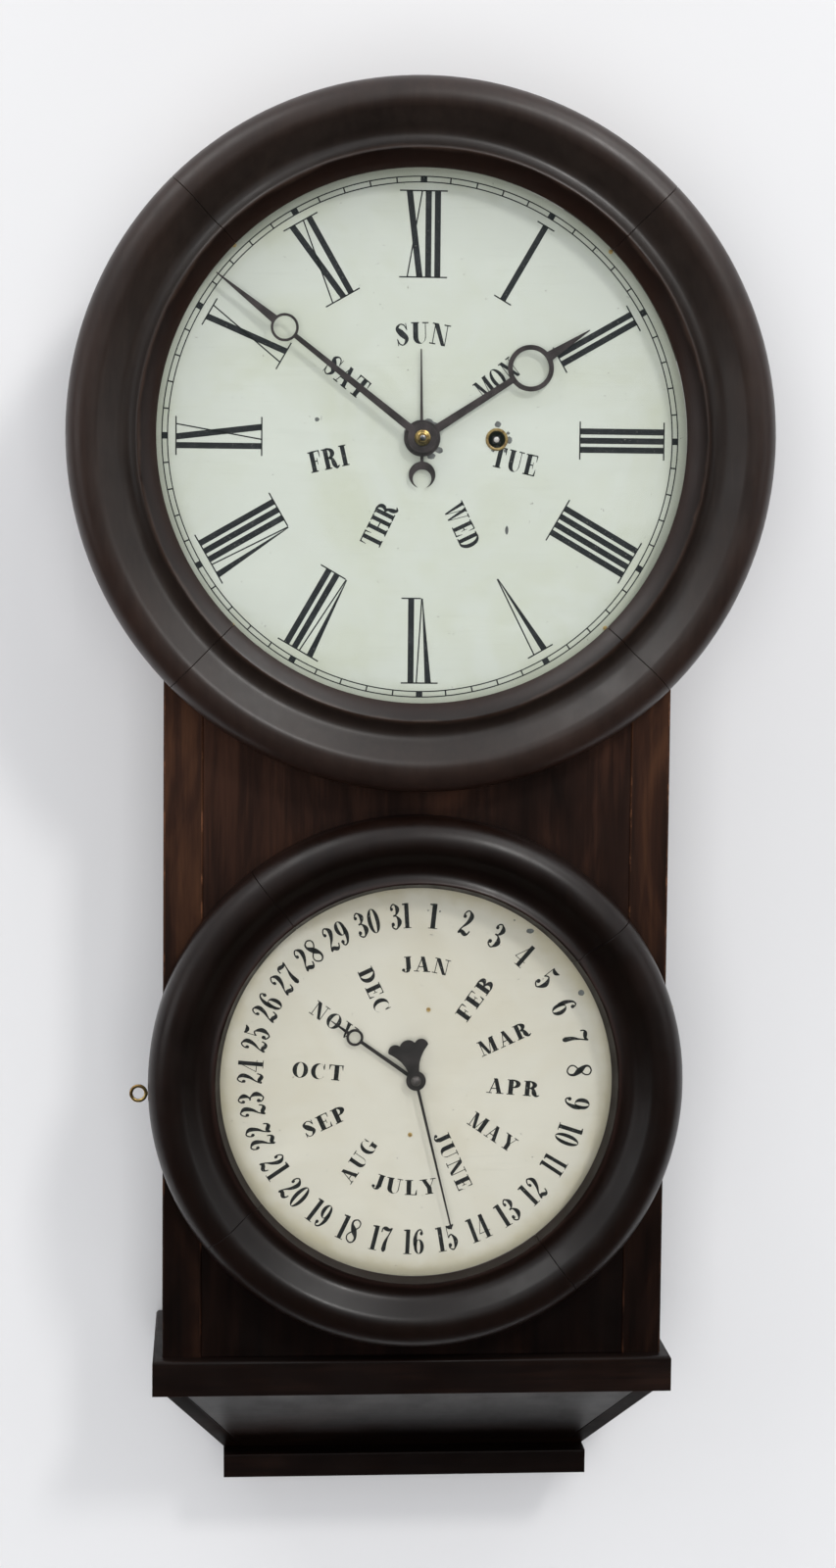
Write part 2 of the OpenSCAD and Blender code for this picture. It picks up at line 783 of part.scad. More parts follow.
// A door's leaves, let in flush with the bezel's back
module door_leaves(hinges) {
    color(brass)
        difference() {
            for (z = hinges) {
                knuckles(z, true);
                box([hx - leaf_w, ring_y - leaf_t, z - hinge_h / 2], [hx + leaf_t, ring_y, z + hinge_h / 2]);
                box([hx - leaf_t, ring_y - leaf_t, z - hinge_h / 6 + 0.1], [hx + leaf_t, hy, z + hinge_h / 6 - 0.1]);
            }
            hinge_bores(hinges);
        }
}

module clock_hinge_leaves() {
    door_leaves(up_hinges);
}

module calendar_hinge_leaves() {
    door_leaves(low_hinges);
}

module hinge_pins() {
    color(steel)
        for (z = concat(up_hinges, low_hinges))
            translate([hx, hy, z - hinge_h / 2 - 0.4])
                cylinder(r = hinge_pin_r, h = hinge_h + 0.8);
}

module brass_loop() {
    edge = -low_crest_r - low_out_r;
    color(brass) {
        translate([edge - 0.2 - loop_r - 2 * loop_wire_r, ring_y - 6, cal_z - loop_drop])
            rotate([90, 0, 0])
                rotate_extrude()
                    translate([loop_r + loop_wire_r, 0])
                        circle(loop_wire_r);
        bar_x(edge - 0.2 - 1.2 * loop_wire_r, edge + 12, cal_z - loop_drop, loop_wire_r);
    }
}

module movement_blocks() {
    color(wood_raw)
        difference() {
            for (e = ears)
                box([e[0] - ear / 2 - 2, mb, dial_z + e[1] - 8], [e[0] + ear / 2 + 2, -back_t, dial_z + e[1] + 8]);
            for (e = ears)
                screw_hole(e[0], dial_z + e[1], bi, 1, screw_len);
        }
}

// Where each arbor runs in the movement plates
runs = [[third_x, third_z], [esc_x, esc_z]];

module movement_back_plate() {
    color(brass)
        translate([0, 0, dial_z])
            difference() {
                slab(bi, mb) {
                    rrect(pl_x0, pl_x1, pl_z0, pl_z1, 4);
                    for (s = [-1, 1])
                        rrect(pl_x0 - ear, pl_x1 + ear, s * ear_z - 7, s * ear_z + 7, 4);
                }
                bar(0, 0, bi - 1, mb + 1, pivot_r + 0.3 + run);
                for (p = runs)
                    bar(p[0], p[1], bi - 1, mb + 1, pivot_r + run);
                bar(0, hang_h, bi - 1, mb + 1, arbor_r + run);
                bar(wind_x, 0, bi - 1, mb + 1, wind_r - 0.6 + run);
                for (p = pill)
                    bar(p[0], p[1], bi - 1, mb + 1, pillar_r - 1 + run);
                for (e = ears)
                    screw_hole(e[0], e[1], bi, 1, screw_len);
                slab(bi - 1, mb + 1)
                    translate([wind_x, 0])
                        difference() {
                            circle(30);
                            circle(14);
                            for (a = [0, 90])
                                rotate(a)
                                    square([64, 12], center = true);
                        }
            }
}

module movement_front_plate() {
    color(brass)
        translate([0, 0, dial_z]) {
            difference() {
                slab(mf, mi)
                    rrect(pl_x0, pl_x1, pl_z0, pl_z1, 4);
                bar(0, 0, mf - 1, mi + 1, centre_r + run);
                for (p = runs)
                    bar(p[0], p[1], mf - 1, mi + 1, pivot_r + run);
                bar(0, hang_h, mf - 1, mi + 1, pivot_r + run);
                bar(wind_x, 0, mf - 1, mi + 1, wind_r + run);
                for (p = pill)
                    bar(p[0], p[1], mf - 1, mi + 1, pillar_r - 1 + run);
            }
            bar(mot_x, mot_z, pb + 3.9, mi, pivot_r + 0.5);
            bar(0, -day_d, pb + 1.2, mi, stud_r);
            bar(-lever_x, -trip_drop, lev0 - play - 0.6, mi, stud_r);
            bar(wind_x + spring_r + 1.6, 0, mi, mi + 4 + spring_w, 1.2);
        }
}

module movement_pillars() {
    color(steel)
        for (p = pill) {
            bar(p[0], dial_z + p[1], mi, bi, pillar_r);
            bar(p[0], dial_z + p[1], mf - 1.4, mb + 1.4, pillar_r - 1);
        }
}

// Spiral strip: radius grows from r0 to r1
function spiral(r0, r1, n) = [for (i = [0 : n]) polar(r0 + (r1 - r0) * i / n, 360 * spring_turns * i / n)];

module mainspring() {
    n = spring_turns * 20;
    in_r = wind_r + 0.4;
    color([0.35, 0.37, 0.42])
        translate([wind_x, 0, dial_z])
            slab(mi + 8, mi + 8 + spring_w)
                polygon(concat(spiral(in_r, spring_r - 0.9, n), [for (i = [n : -1 : 0]) polar(in_r + 0.9 + (spring_r - 0.9 - in_r) * i / n, 360 * spring_turns * i / n)]));
}

module suspension_cock() {
    color(brass)
        translate([0, 0, dial_z + hang_h]) {
            box([-7, mb, 4], [7, mb + 1.6, 9]);
            box([-3, mb, 7], [3, pend_y + 2.5, 10]);
        }
    color(steel)
        box([-0.2, pend_y - 2, dial_z + hang_h + 0.3], [0.2, pend_y + 2, dial_z + hang_h + 7.5]);
}

module calendar_plate() {
    color(brass)
        translate([0, 0, cal_z]) {
            difference() {
                slab(pb, pb + plate_t)
                    rrect(-cal_w, cal_w, -cal_dn, cal_up, 4);
                bar(0, 0, pb - 1, pb + plate_t + 1, month_out + run);
                for (s = cal_screws)
                    screw_hole(s[0], s[1], pb + plate_t, -1, screw_len);
                for (p = pins_low)
                    bar(p[0], p[1], pb - 1, pb + 2.2, 0.9);
            }
            for (p = cal_pill)
                bar(p[0], p[1], pb, lev1 + 6, pillar_r);
            for (p = cal_pill)
                bar(p[0], p[1], pb, lev1 + 9, pillar_r - 1);
            bar(-lever_x, date_lever_h, pb, lev1 + play + 0.6, stud_r);
            bar(0, -red_d, pb, pb + 10.6, arbor_r);
        }
}

module calendar_bridge() {
    color(brass)
        translate([0, 0, cal_z])
            difference() {
                slab(lev1 + 6, lev1 + 6 + plate_t) {
                    for (z = [-bridge_z, bridge_z])
                        rrect(6 - cal_w, cal_w - 6, z - 6, z + 6, 4);
                    rrect(-7, 7, -bridge_z - 6, bridge_z + 6, 3);
                }
                bar(0, 0, lev1, lev1 + 12, pivot_r + run);
                for (p = cal_pill)
                    bar(p[0], p[1], lev1, lev1 + 12, pillar_r - 1 + run);
            }
}

module centre_wheel() {
    color(brass)
        translate([0, 0, dial_z]) {
            bar(0, 0, arbor_tip, bi - play, centre_r);
            bar(0, 0, bi - 1, mb + 0.4, pivot_r + 0.3);
            slab(mi + 4, mi + 4 + wheel_t)
                wheel(80, m_centre, 2, 5, 4);
            lantern(7, m_great, 0.5, bi - 11, bi - 2, 0);
            slab(pb + 9, pb + 13)
                polygon(gear_pts(12, 0.75));
        }
}

// Outline of a hand's blade: tapered bar, ring and point, pointing up
module blade(hub, w0, w1, ring_c, ring_o, ring_i, w2, w3, len) {
    difference() {
        union() {
            circle(hub);
            polygon([[-w0, 0], [w0, 0], [w1, ring_c - ring_o + 1], [-w1, ring_c - ring_o + 1]]);
            translate([0, ring_c])
                circle(ring_o);
            polygon([[-w2, ring_c + ring_o - 1], [w2, ring_c + ring_o - 1], [w3, len], [-w3, len]]);
        }
        translate([0, ring_c])
            circle(ring_i);
    }
}

module minute_hand() {
    color(blued)
        translate([0, 0, dial_z])
            difference() {
                slab(minute_y0, minute_y1)
                    rotate(-minute_at)
                        blade(8.7, 2.3, 1.4, minute_len * 0.67, 8, 6.5, 2.5, 0.3, minute_len);
                bar(0, 0, minute_y0 - 1, minute_y1 + 1, centre_r + run);
            }
}

module hour_hand() {
    color(blued)
        translate([0, 0, dial_z])
            difference() {
                slab(hour_y0, hour_y1)
                    rotate(-hour_at)
                        blade(10.5, 2.6, 1.8, hour_len * 0.648, 13.3, 10.5, 2.9, 0.3, hour_len);
                bar(0, 0, hour_y0 - 1, hour_y1 + 1, hour_out + run / 2);
            }
}

module hand_nut() {
    color(brass)
        difference() {
            bar(0, dial_z, nut_y0, minute_y0, nut_r);
            bar(0, dial_z, nut_y0 - 1, minute_y0 + 1, centre_r + run / 2);
        }
}

module hour_wheel() {
    color(brass)
        translate([0, 0, dial_z])
            difference() {
                union() {
                    slab(pb + 4.8, pb + 4.8 + 1.2)
                        rotate(rot_hour)
                            wheel(40, 0.72, 2, 5, 4);
                    slab(pb + 2, pb + 3.2)
                        rotate(rot_hour)
                            polygon(gear_pts(24, 0.7));
                    bar(0, 0, hour_y0 - 0.6, pb + 6.6, hour_out);
                }
                bar(0, 0, hour_y0 - 2, pb + 8, hour_in);
            }
}

module minute_wheel() {
    color(brass)
        translate([mot_x, 0, dial_z + mot_z])
            difference() {
                union() {
                    slab(pb + 9.5, pb + 11)
                        rotate(rot_minute)
                            wheel(36, 0.75, 2, 3.4, 4);
                    slab(pb + 4.2, pb + 10)
                        rotate(rot_minute)
                            polygon(gear_pts(10, 0.72));
                    bar(0, 0, pb + 9.5, mf - play, 2.4);
                }
                bar(0, 0, pb, mf + 1, pivot_r + 0.5 + run);
            }
}

module great_wheel() {
    color(brass)
        translate([wind_x, 0, dial_z])
            difference() {
                union() {
                    slab(bi - 8, bi - 6)
                        rotate(rot_great)
                            wheel(84, m_great, 3, 21, 5);
                    bar(0, 0, bi - 9, bi - 5.8, 5);
                    bar(18, 3, bi - 7, bi - 4, 1.2);
                }
                bar(0, 0, bi - 12, bi, wind_r + run);
            }
}

module click() {
    color(steel)
        translate([wind_x, 0, dial_z])
            difference() {
                union() {
                    bar(18, 3, bi - 5.6, bi - 4.2, 2.6);
                    slab(bi - 5.6, bi - 4.2)
                        polygon([[16.6, 4.6], [18, 1], [12, -2.2], [10.1, -1.2], [12, 1]]);
                }
                bar(18, 3, bi - 8, bi, 1.2 + run);
            }
}

function ratchet_pts(n, ro, ri) = [for (k = [0 : n - 1], j = [0 : 1]) polar(j == 0 ? ro : ri, 360 * (k + j * 0.12) / n)];

module winding_arbor() {
    color(steel)
        translate([wind_x, 0, dial_z]) {
            bar(0, 0, front_y + 8, bi - play, wind_r);
            bar(0, 0, bi - 1, mb + 0.4, wind_r - 0.6);
            box([-wind_sq / 2, front_y + 0.5, -wind_sq / 2], [wind_sq / 2, front_y + 9, wind_sq / 2]);
            slab(bi - 5.4, bi - 4)
                polygon(ratchet_pts(16, 9.4, 7.8));
        }
}

module third_wheel() {
    color(brass)
        translate([third_x, 0, dial_z + third_z]) {
            arbor(arbor_r);
            lantern(8, m_centre, 0.3, mi + 2.5, mi + 8, rot_third);
            slab(mi + 16, mi + 16 + 1.2)
                rotate(rot_third)
                    wheel(60, m_third, 1.8, 4, 4);
        }
}

// Escape teeth: pointed, leaning with the turn
function escape_pts(n, ro, ri) = [for (k = [0 : n - 1], j = [0 : 2]) polar([ri, ro, ri][j], 360 * (k + [0, 0.15, 0.62][j]) / n)];

module escape_wheel() {
    color(brass)
        translate([esc_x, 0, dial_z + esc_z]) {
            arbor(arbor_r - 0.2);
            lantern(8, m_third, 0.27, mi + 14, mi + 19.5, rot_esc);
            slab(mi + 24, mi + 24 + wheel_t) {
                difference() {
                    polygon(escape_pts(escape_teeth, escape_r, escape_r - 2));
                    circle(escape_r - 4);
                }
                circle(3.5);
                for (a = [0, 60, 120])
                    rotate(a)
                        square([2 * escape_r - 7, 1.6], center = true);
            }
        }
}

module verge() {
    crutch_z = hang_h - crutch_len;
    color(steel)
        translate([0, 0, dial_z + hang_h]) {
            bar(0, 0, mi + play, mb + 4.6, arbor_r);
            bar(0, 0, mf - 0.4, mi + 1, pivot_r);
            slab(mi + 23.6, mi + 26) {
                circle(3);
                translate([-11.8, -1])
                    square([23.6, 2]);
                for (s = [-1, 1])
                    translate([s * 11.1 - 0.7, -6])
                        square([1.4, 6]);
            }
            slab(mb + 3, mb + 4.4) {
                circle(2.6);
                translate([-1.2, -crutch_len])
                    square([2.4, crutch_len]);
                rrect(-3.2, 3.2, -crutch_len - 4, -crutch_len, 0.5);
            }
            for (s = [-1, 1])
                box([s > 0 ? rod_r + 0.15 : -rod_r - 1.4, mb + 3, -crutch_len - 4], [s > 0 ? rod_r + 1.4 : -rod_r - 0.15, pend_y + 3, -crutch_len]);
        }
}

module pendulum_rod() {
    color(steel)
        translate([0, pend_y, dial_z + hang_h]) {
            box([-0.2, -2, -9], [0.2, 2, -0.3]);
            box([-1.5, -2.5, -14], [1.5, 2.5, -8]);
            translate([0, 0, -bob_drop - bob_r - 12])
                cylinder(r = rod_r, h = bob_drop + bob_r + 12 - 13);
        }
}

module pendulum_bob() {
    color(brass)
        translate([0, pend_y, dial_z + hang_h - bob_drop])
            difference() {
                rotate([90, 0, 0]) {
                    cylinder(r = bob_r, h = bob_t * 0.4, center = true);
                    translate([0, 0, bob_t * 0.2])
                        cylinder(r1 = bob_r, r2 = bob_r * 0.6, h = bob_t * 0.3);
                    translate([0, 0, -bob_t / 2])
                        cylinder(r1 = bob_r * 0.6, r2 = bob_r, h = bob_t * 0.3);
                }
                translate([0, 0, -bob_r - 1])
                    cylinder(r = rod_r + run, h = 2 * bob_r + 2);
            }
}

module rating_nut() {
    color(brass)
        translate([0, pend_y, dial_z + hang_h - bob_drop - bob_r - 5])
            difference() {
                cylinder(r = 5, h = 4.6);
                translate([0, 0, -1])
                    cylinder(r = rod_r + run, h = 7);
            }
}

module weekday_wheel() {
    color(brass)
        translate([0, 0, dial_z])
            difference() {
                union() {
                    slab(pb - 0.8, pb + 0.4)
                        rotate(90 - week_at)
                            polygon([for (k = [0 : 6], j = [0 : 2]) polar([10, 14, 14][j], 360 * (k + [0, 0.2, 0.35][j]) / 7)]);
                    bar(0, 0, week_y0 - 0.5, pb + 0.8, week_out);
                }
                bar(0, 0, week_y0 - 2, pb + 2, week_in);
            }
}

module weekday_hand() {
    color(blued)
        translate([0, 0, dial_z])
            difference() {
                slab(week_y0, week_y1)
                    rotate(-week_at) {
                        circle(week_out + 1.6);
                        polygon([[-0.9, 0], [0.9, 0], [0.35, week_len], [-0.35, week_len]]);
                        translate([-0.9, -15])
                            square([1.8, 15]);
                        difference() {
                            translate([0, -20.9])
                                circle(7.7);
                            translate([0, -23.2])
                                circle(5.4);
                            translate([-2.5, -32])
                                square([5, 6]);
                        }
                    }
                bar(0, 0, week_y0 - 1, week_y1 + 1, week_out + run / 2);
            }
}

module day_wheel() {
    color(brass)
        translate([0, 0, dial_z - day_d])
            difference() {
                union() {
                    slab(pb + 2, pb + 3.2)
                        rotate(rot_day)
                            wheel(48, 0.7, 2, 11.5, 4);
                    bar(0, 0, pb + 1.6, mf - play, 3);
                    slab(lev0, lev1)
                        polygon([for (k = [0 : 35]) polar(5 + k * 0.083, 10 * k)]);
                    bar(10, 0, pb - 0.6, pb + 2.5, 0.6);
                }
                bar(0, 0, pb - 2, mf + 1, stud_r + run);
            }
}

module trip_lever() {
    color(steel)
        translate([-lever_x, 0, dial_z - trip_drop])
            difference() {
                union() {
                    slab(lev0, lev1) {
                        translate([-arm_len, -2])
                            square([lever_x + arm_len + 4, 4]);
                        circle(4);
                        translate([-arm_len, 0])
                            circle(3);
                    }
                    bar(-arm_len, 0, lev0 - 3, lev1, link_r);
                }
                bar(0, 0, lev0 - 1, lev1 + 1, stud_r + run);
            }
}

module connecting_rod() {
    low_z = cal_z + date_lever_h;
    color(steel)
        translate([-lever_x - arm_len, 0, 0])
            difference() {
                union() {
                    for (z = [dial_z - trip_drop, low_z])
                        bar(0, z, lev0 - 0.3 - 1.6, lev0 - 0.3, 3);
                    translate([0, lev0 - 1.1, low_z + 2.5])
                        cylinder(r = 0.8, h = dial_z - trip_drop - low_z - 5);
                }
                bar(0, dial_z - trip_drop, lev0 - 4, lev0 + 1, link_r + run);
                bar(0, low_z, lev0 - 4, lev0 + 1, link_r + 0.35);
            }
}

module date_lever() {
    color(steel)
        translate([-lever_x, 0, cal_z + date_lever_h])
            difference() {
                union() {
                    slab(lev0, lev1) {
                        translate([-arm_len, -2])
                            square([lever_x + arm_len + 2, 4]);
                        circle(4);
                        translate([-arm_len, 0])
                            circle(3);
                        polygon([[lever_x - 2, 0], [lever_x + 2, 0], [lever_x + 1.2, -11.5], [lever_x - 0.4, -13]]);
                    }
                    bar(-arm_len, 0, lev0 - 3, lev1, link_r);
                }
                bar(0, 0, lev0 - 1, lev1 + 1, stud_r + run);
            }
}

module date_wheel() {
    color(brass)
        translate([0, 0, cal_z]) {
            bar(0, 0, date_tip, lev1 + 6 - play, date_ar);
            bar(0, 0, lev1 + 5, lev1 + 8.4, pivot_r);
            slab(lev0, lev1)
                rotate(-date_at) {
                    difference() {
                        polygon([for (k = [0 : 30], j = [0 : 1]) polar(date_wheel_r + (j == 0 ? 1.6 : -1.6), 360 * (k + j * 0.12) / 31)]);
                        circle(date_wheel_r - 6);
                    }
                    circle(7);
                    for (a = [0, 60, 120])
                        rotate(a)
                            square([2 * date_wheel_r - 9, 3], center = true);
                }
            slab(pb + 7.5, pb + 10)
                polygon(gear_pts(12, 0.7));
        }
}

// The date hand's tail: narrow at the hub, spreading to three scallops
function tulip_side() = [[2.6, -3], [3.2, -5.5], [4.2, -9.3], [6, -12.9], [8.7, -16.4]];
function tulip_pts() =
    let (side = tulip_side(), n = len(side) - 1)
    concat(side, arc(7.8, -19.5, 4.2, 0, -141, 7), arc(0, -19.4, 5.3, -32, -148, 7), arc(-7.8, -19.5, 4.2, -39, -180, 7), [for (i = [0 : n]) [-side[n - i][0], side[n - i][1]]]);

module date_hand() {
    color(blued)
        translate([0, 0, cal_z])
            difference() {
                rotate([0, date_at, 0]) {
                    bar(0, 0, date_y0, date_y1, 5.8);
                    slab(date_y0, date_y1)
                        polygon([[0.9, 0], [0.45, date_len], [-0.45, date_len], [-0.9, 0]]);
                    slab(date_y0, date_y1)
                        polygon(tulip_pts());
                }
                bar(0, 0, date_y0 - 1, date_y1 + 1, date_ar + run / 2);
            }
}

module month_wheel() {
    color(brass)
        translate([0, 0, cal_z])
            difference() {
                union() {
                    slab(pb + 3.5, pb + 4.7)
                        rotate(rot_month)
                            wheel(36, 0.875, 2, 5, 4);
                    bar(0, 0, month_y0 - 0.4, pb + 5.4, month_out);
                }
                bar(0, 0, month_y0 - 2, pb + 7, month_in);
            }
}

module month_hand() {
    color(blued)
        translate([0, 0, cal_z])
            difference() {
                slab(month_y0, month_y1)
                    rotate(-month_at)
                        blade(5, 1.1, 1, month_len * 0.72, 5, 3.5, 1, 0.25, month_len);
                bar(0, 0, month_y0 - 1, month_y1 + 1, month_out + run / 2);
            }
}

module reduction_wheel() {
    color(brass)
        translate([0, 0, cal_z - red_d])
            difference() {
                union() {
                    slab(pb + 8, pb + 9.2)
                        rotate(rot_red)
                            wheel(48, 0.7, 2, 6.5, 4);
                    slab(pb + 2.6, pb + 7)
                        rotate(rot_red)
                            polygon(gear_pts(12, 0.875));
                    bar(0, 0, pb + plate_t + 0.3, pb + 9.8, 3);
                }
                bar(0, 0, pb, pb + 12, arbor_r + run);
            }
}

back_board();
side_boards();
top_board();
front_panel();
ledge();
base_side_slopes();
base_front_slope();
base_block();
plinth();
hanger_plate();
case_screws();
clock_dial();
dial_pins();
winding_grommet();
calendar_dial();
hinge_case_leaves();
hinge_pins();
movement_blocks();
movement_back_plate();
movement_front_plate();
movement_pillars();
mainspring();
suspension_cock();
calendar_plate();
calendar_bridge();
clock_bezel();
clock_glass();
clock_glass_bead();
clock_hinge_leaves();
calendar_bezel();
calendar_glass();
calendar_glass_bead();
calendar_hinge_leaves();
brass_loop();
centre_wheel();
minute_hand();
hand_nut();
hour_wheel();
hour_hand();
minute_wheel();
great_wheel();
click();
winding_arbor();
third_wheel();
escape_wheel();
verge();
pendulum_rod();
pendulum_bob();
rating_nut();
weekday_wheel();
weekday_hand();
day_wheel();
trip_lever();
connecting_rod();
date_lever();
date_wheel();
date_hand();
month_wheel();
month_hand();
reduction_wheel();
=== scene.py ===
"""Looks of the wall calendar clock: turned bezels, polished boards, painted dials, hands and works."""

import json
import math
import random

import bmesh
import bpy
from mathutils import Matrix, Vector


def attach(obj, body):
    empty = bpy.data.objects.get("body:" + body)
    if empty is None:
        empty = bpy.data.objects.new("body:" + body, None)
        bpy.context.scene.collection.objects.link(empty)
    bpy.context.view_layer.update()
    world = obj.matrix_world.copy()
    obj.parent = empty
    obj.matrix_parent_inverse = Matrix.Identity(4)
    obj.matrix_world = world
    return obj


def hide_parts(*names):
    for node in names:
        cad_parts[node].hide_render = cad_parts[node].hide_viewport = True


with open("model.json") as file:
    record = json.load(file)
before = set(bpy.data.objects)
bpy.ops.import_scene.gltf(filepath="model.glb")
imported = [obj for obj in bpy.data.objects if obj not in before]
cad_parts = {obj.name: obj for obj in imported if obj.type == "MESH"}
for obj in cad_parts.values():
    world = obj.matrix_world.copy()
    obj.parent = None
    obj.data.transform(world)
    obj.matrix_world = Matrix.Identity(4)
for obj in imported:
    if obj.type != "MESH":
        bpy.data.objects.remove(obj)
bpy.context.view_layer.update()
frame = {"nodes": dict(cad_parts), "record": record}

# Places in millimetres: x right, y into the wall, z up from the hanging hole
MM = 0.001
FORWARD = (0, -1, 0)
CLOCK_Z = -160.0
CALENDAR_Z = -533.8
DIAL_Y = -106.0
RING_Y = -105.3
WINDING_X = 43.6
INK_THICK = 0.03
CHIP_THICK = 0.02
INK_Y = DIAL_Y - INK_THICK

CAMERA_AT = Vector((-117.8, -1710.7, -231.4))
CAMERA_YAW, CAMERA_PITCH, CAMERA_ROLL = 4.194, -4.562, 0.549
LENS, SENSOR_TALL = 63.65, 36
PICTURE_WIDE, PICTURE_TALL, PICTURE_FOCAL = 853, 1600, 2829


# The camera, the wall and the light


def camera_axes():
    """Right, up and ahead of the camera, which hangs a little left of the clock and looks slightly down."""
    yaw, pitch, roll = (math.radians(a) for a in (CAMERA_YAW, CAMERA_PITCH, CAMERA_ROLL))
    ahead = Vector((math.sin(yaw) * math.cos(pitch), math.cos(yaw) * math.cos(pitch), math.sin(pitch)))
    level = Vector((math.cos(yaw), -math.sin(yaw), 0))
    over = level.cross(ahead)
    right = level * math.cos(roll) + over * math.sin(roll)
    up = over * math.cos(roll) - level * math.sin(roll)
    return right, up, ahead


def place_camera():
    """The camera of the picture, with its lens and sensor in millimetres."""
    data = bpy.data.cameras.new("camera")
    data.sensor_fit = "VERTICAL"
    data.sensor_height = SENSOR_TALL
    data.lens = LENS
    data.clip_start, data.clip_end = 0.05, 30
    camera = bpy.data.objects.new("camera", data)
    bpy.context.scene.collection.objects.link(camera)
    right, up, ahead = camera_axes()
    turn = Matrix((right, up, -ahead)).transposed().to_4x4()
    camera.matrix_world = Matrix.Translation(CAMERA_AT * MM) @ turn
    bpy.context.scene.camera = camera


def seen_at(px, py, y):
    """The point in millimetres, on the plane at depth y, that shows at a place in the picture."""
    right, up, ahead = camera_axes()
    ray = ahead * PICTURE_FOCAL + right * (px - PICTURE_WIDE / 2) + up * (PICTURE_TALL / 2 - py)
    return CAMERA_AT + ray * ((y - CAMERA_AT.y) / ray.y)


def place_light(name, at, aim, size, watts, tint, mirrored=True):
    """A square soft light that looks at a point; an unmirrored one leaves no highlight on the polish."""
    data = bpy.data.lights.new(name, "AREA")
    data.size = size
    data.energy = watts
    data.color = tint
    lamp = bpy.data.objects.new(name, data)
    bpy.context.scene.collection.objects.link(lamp)
    lamp.location = at
    lamp.rotation_mode = "QUATERNION"
    lamp.rotation_quaternion = (Vector(aim) - Vector(at)).to_track_quat("-Z", "Y")
    lamp.visible_glossy = mirrored


def room_air(levels, strength):
    """The room's own light, from dark underneath to bright overhead, slightly cool."""
    world = bpy.data.worlds.new("room")
    bpy.context.scene.world = world
    world.use_nodes = True
    nodes, links = world.node_tree.nodes, world.node_tree.links
    split = nodes.new("ShaderNodeSeparateXYZ")
    height = nodes.new("ShaderNodeMapRange")
    ramp = nodes.new("ShaderNodeValToRGB")
    links.new(nodes.new("ShaderNodeTexCoord").outputs["Generated"], split.inputs["Vector"])
    links.new(split.outputs["Z"], height.inputs["Value"])
    height.inputs["From Min"].default_value = -1
    links.new(height.outputs["Result"], ramp.inputs["Fac"])
    while len(ramp.color_ramp.elements) < len(levels):
        ramp.color_ramp.elements.new(0.5)
    for element, (at, value) in zip(ramp.color_ramp.elements, levels):
        element.position = at
        element.color = (value * 0.94, value * 0.97, value, 1)
    links.new(ramp.outputs["Color"], nodes["Background"].inputs["Color"])
    nodes["Background"].inputs["Strength"].default_value = strength


# Procedural finishes


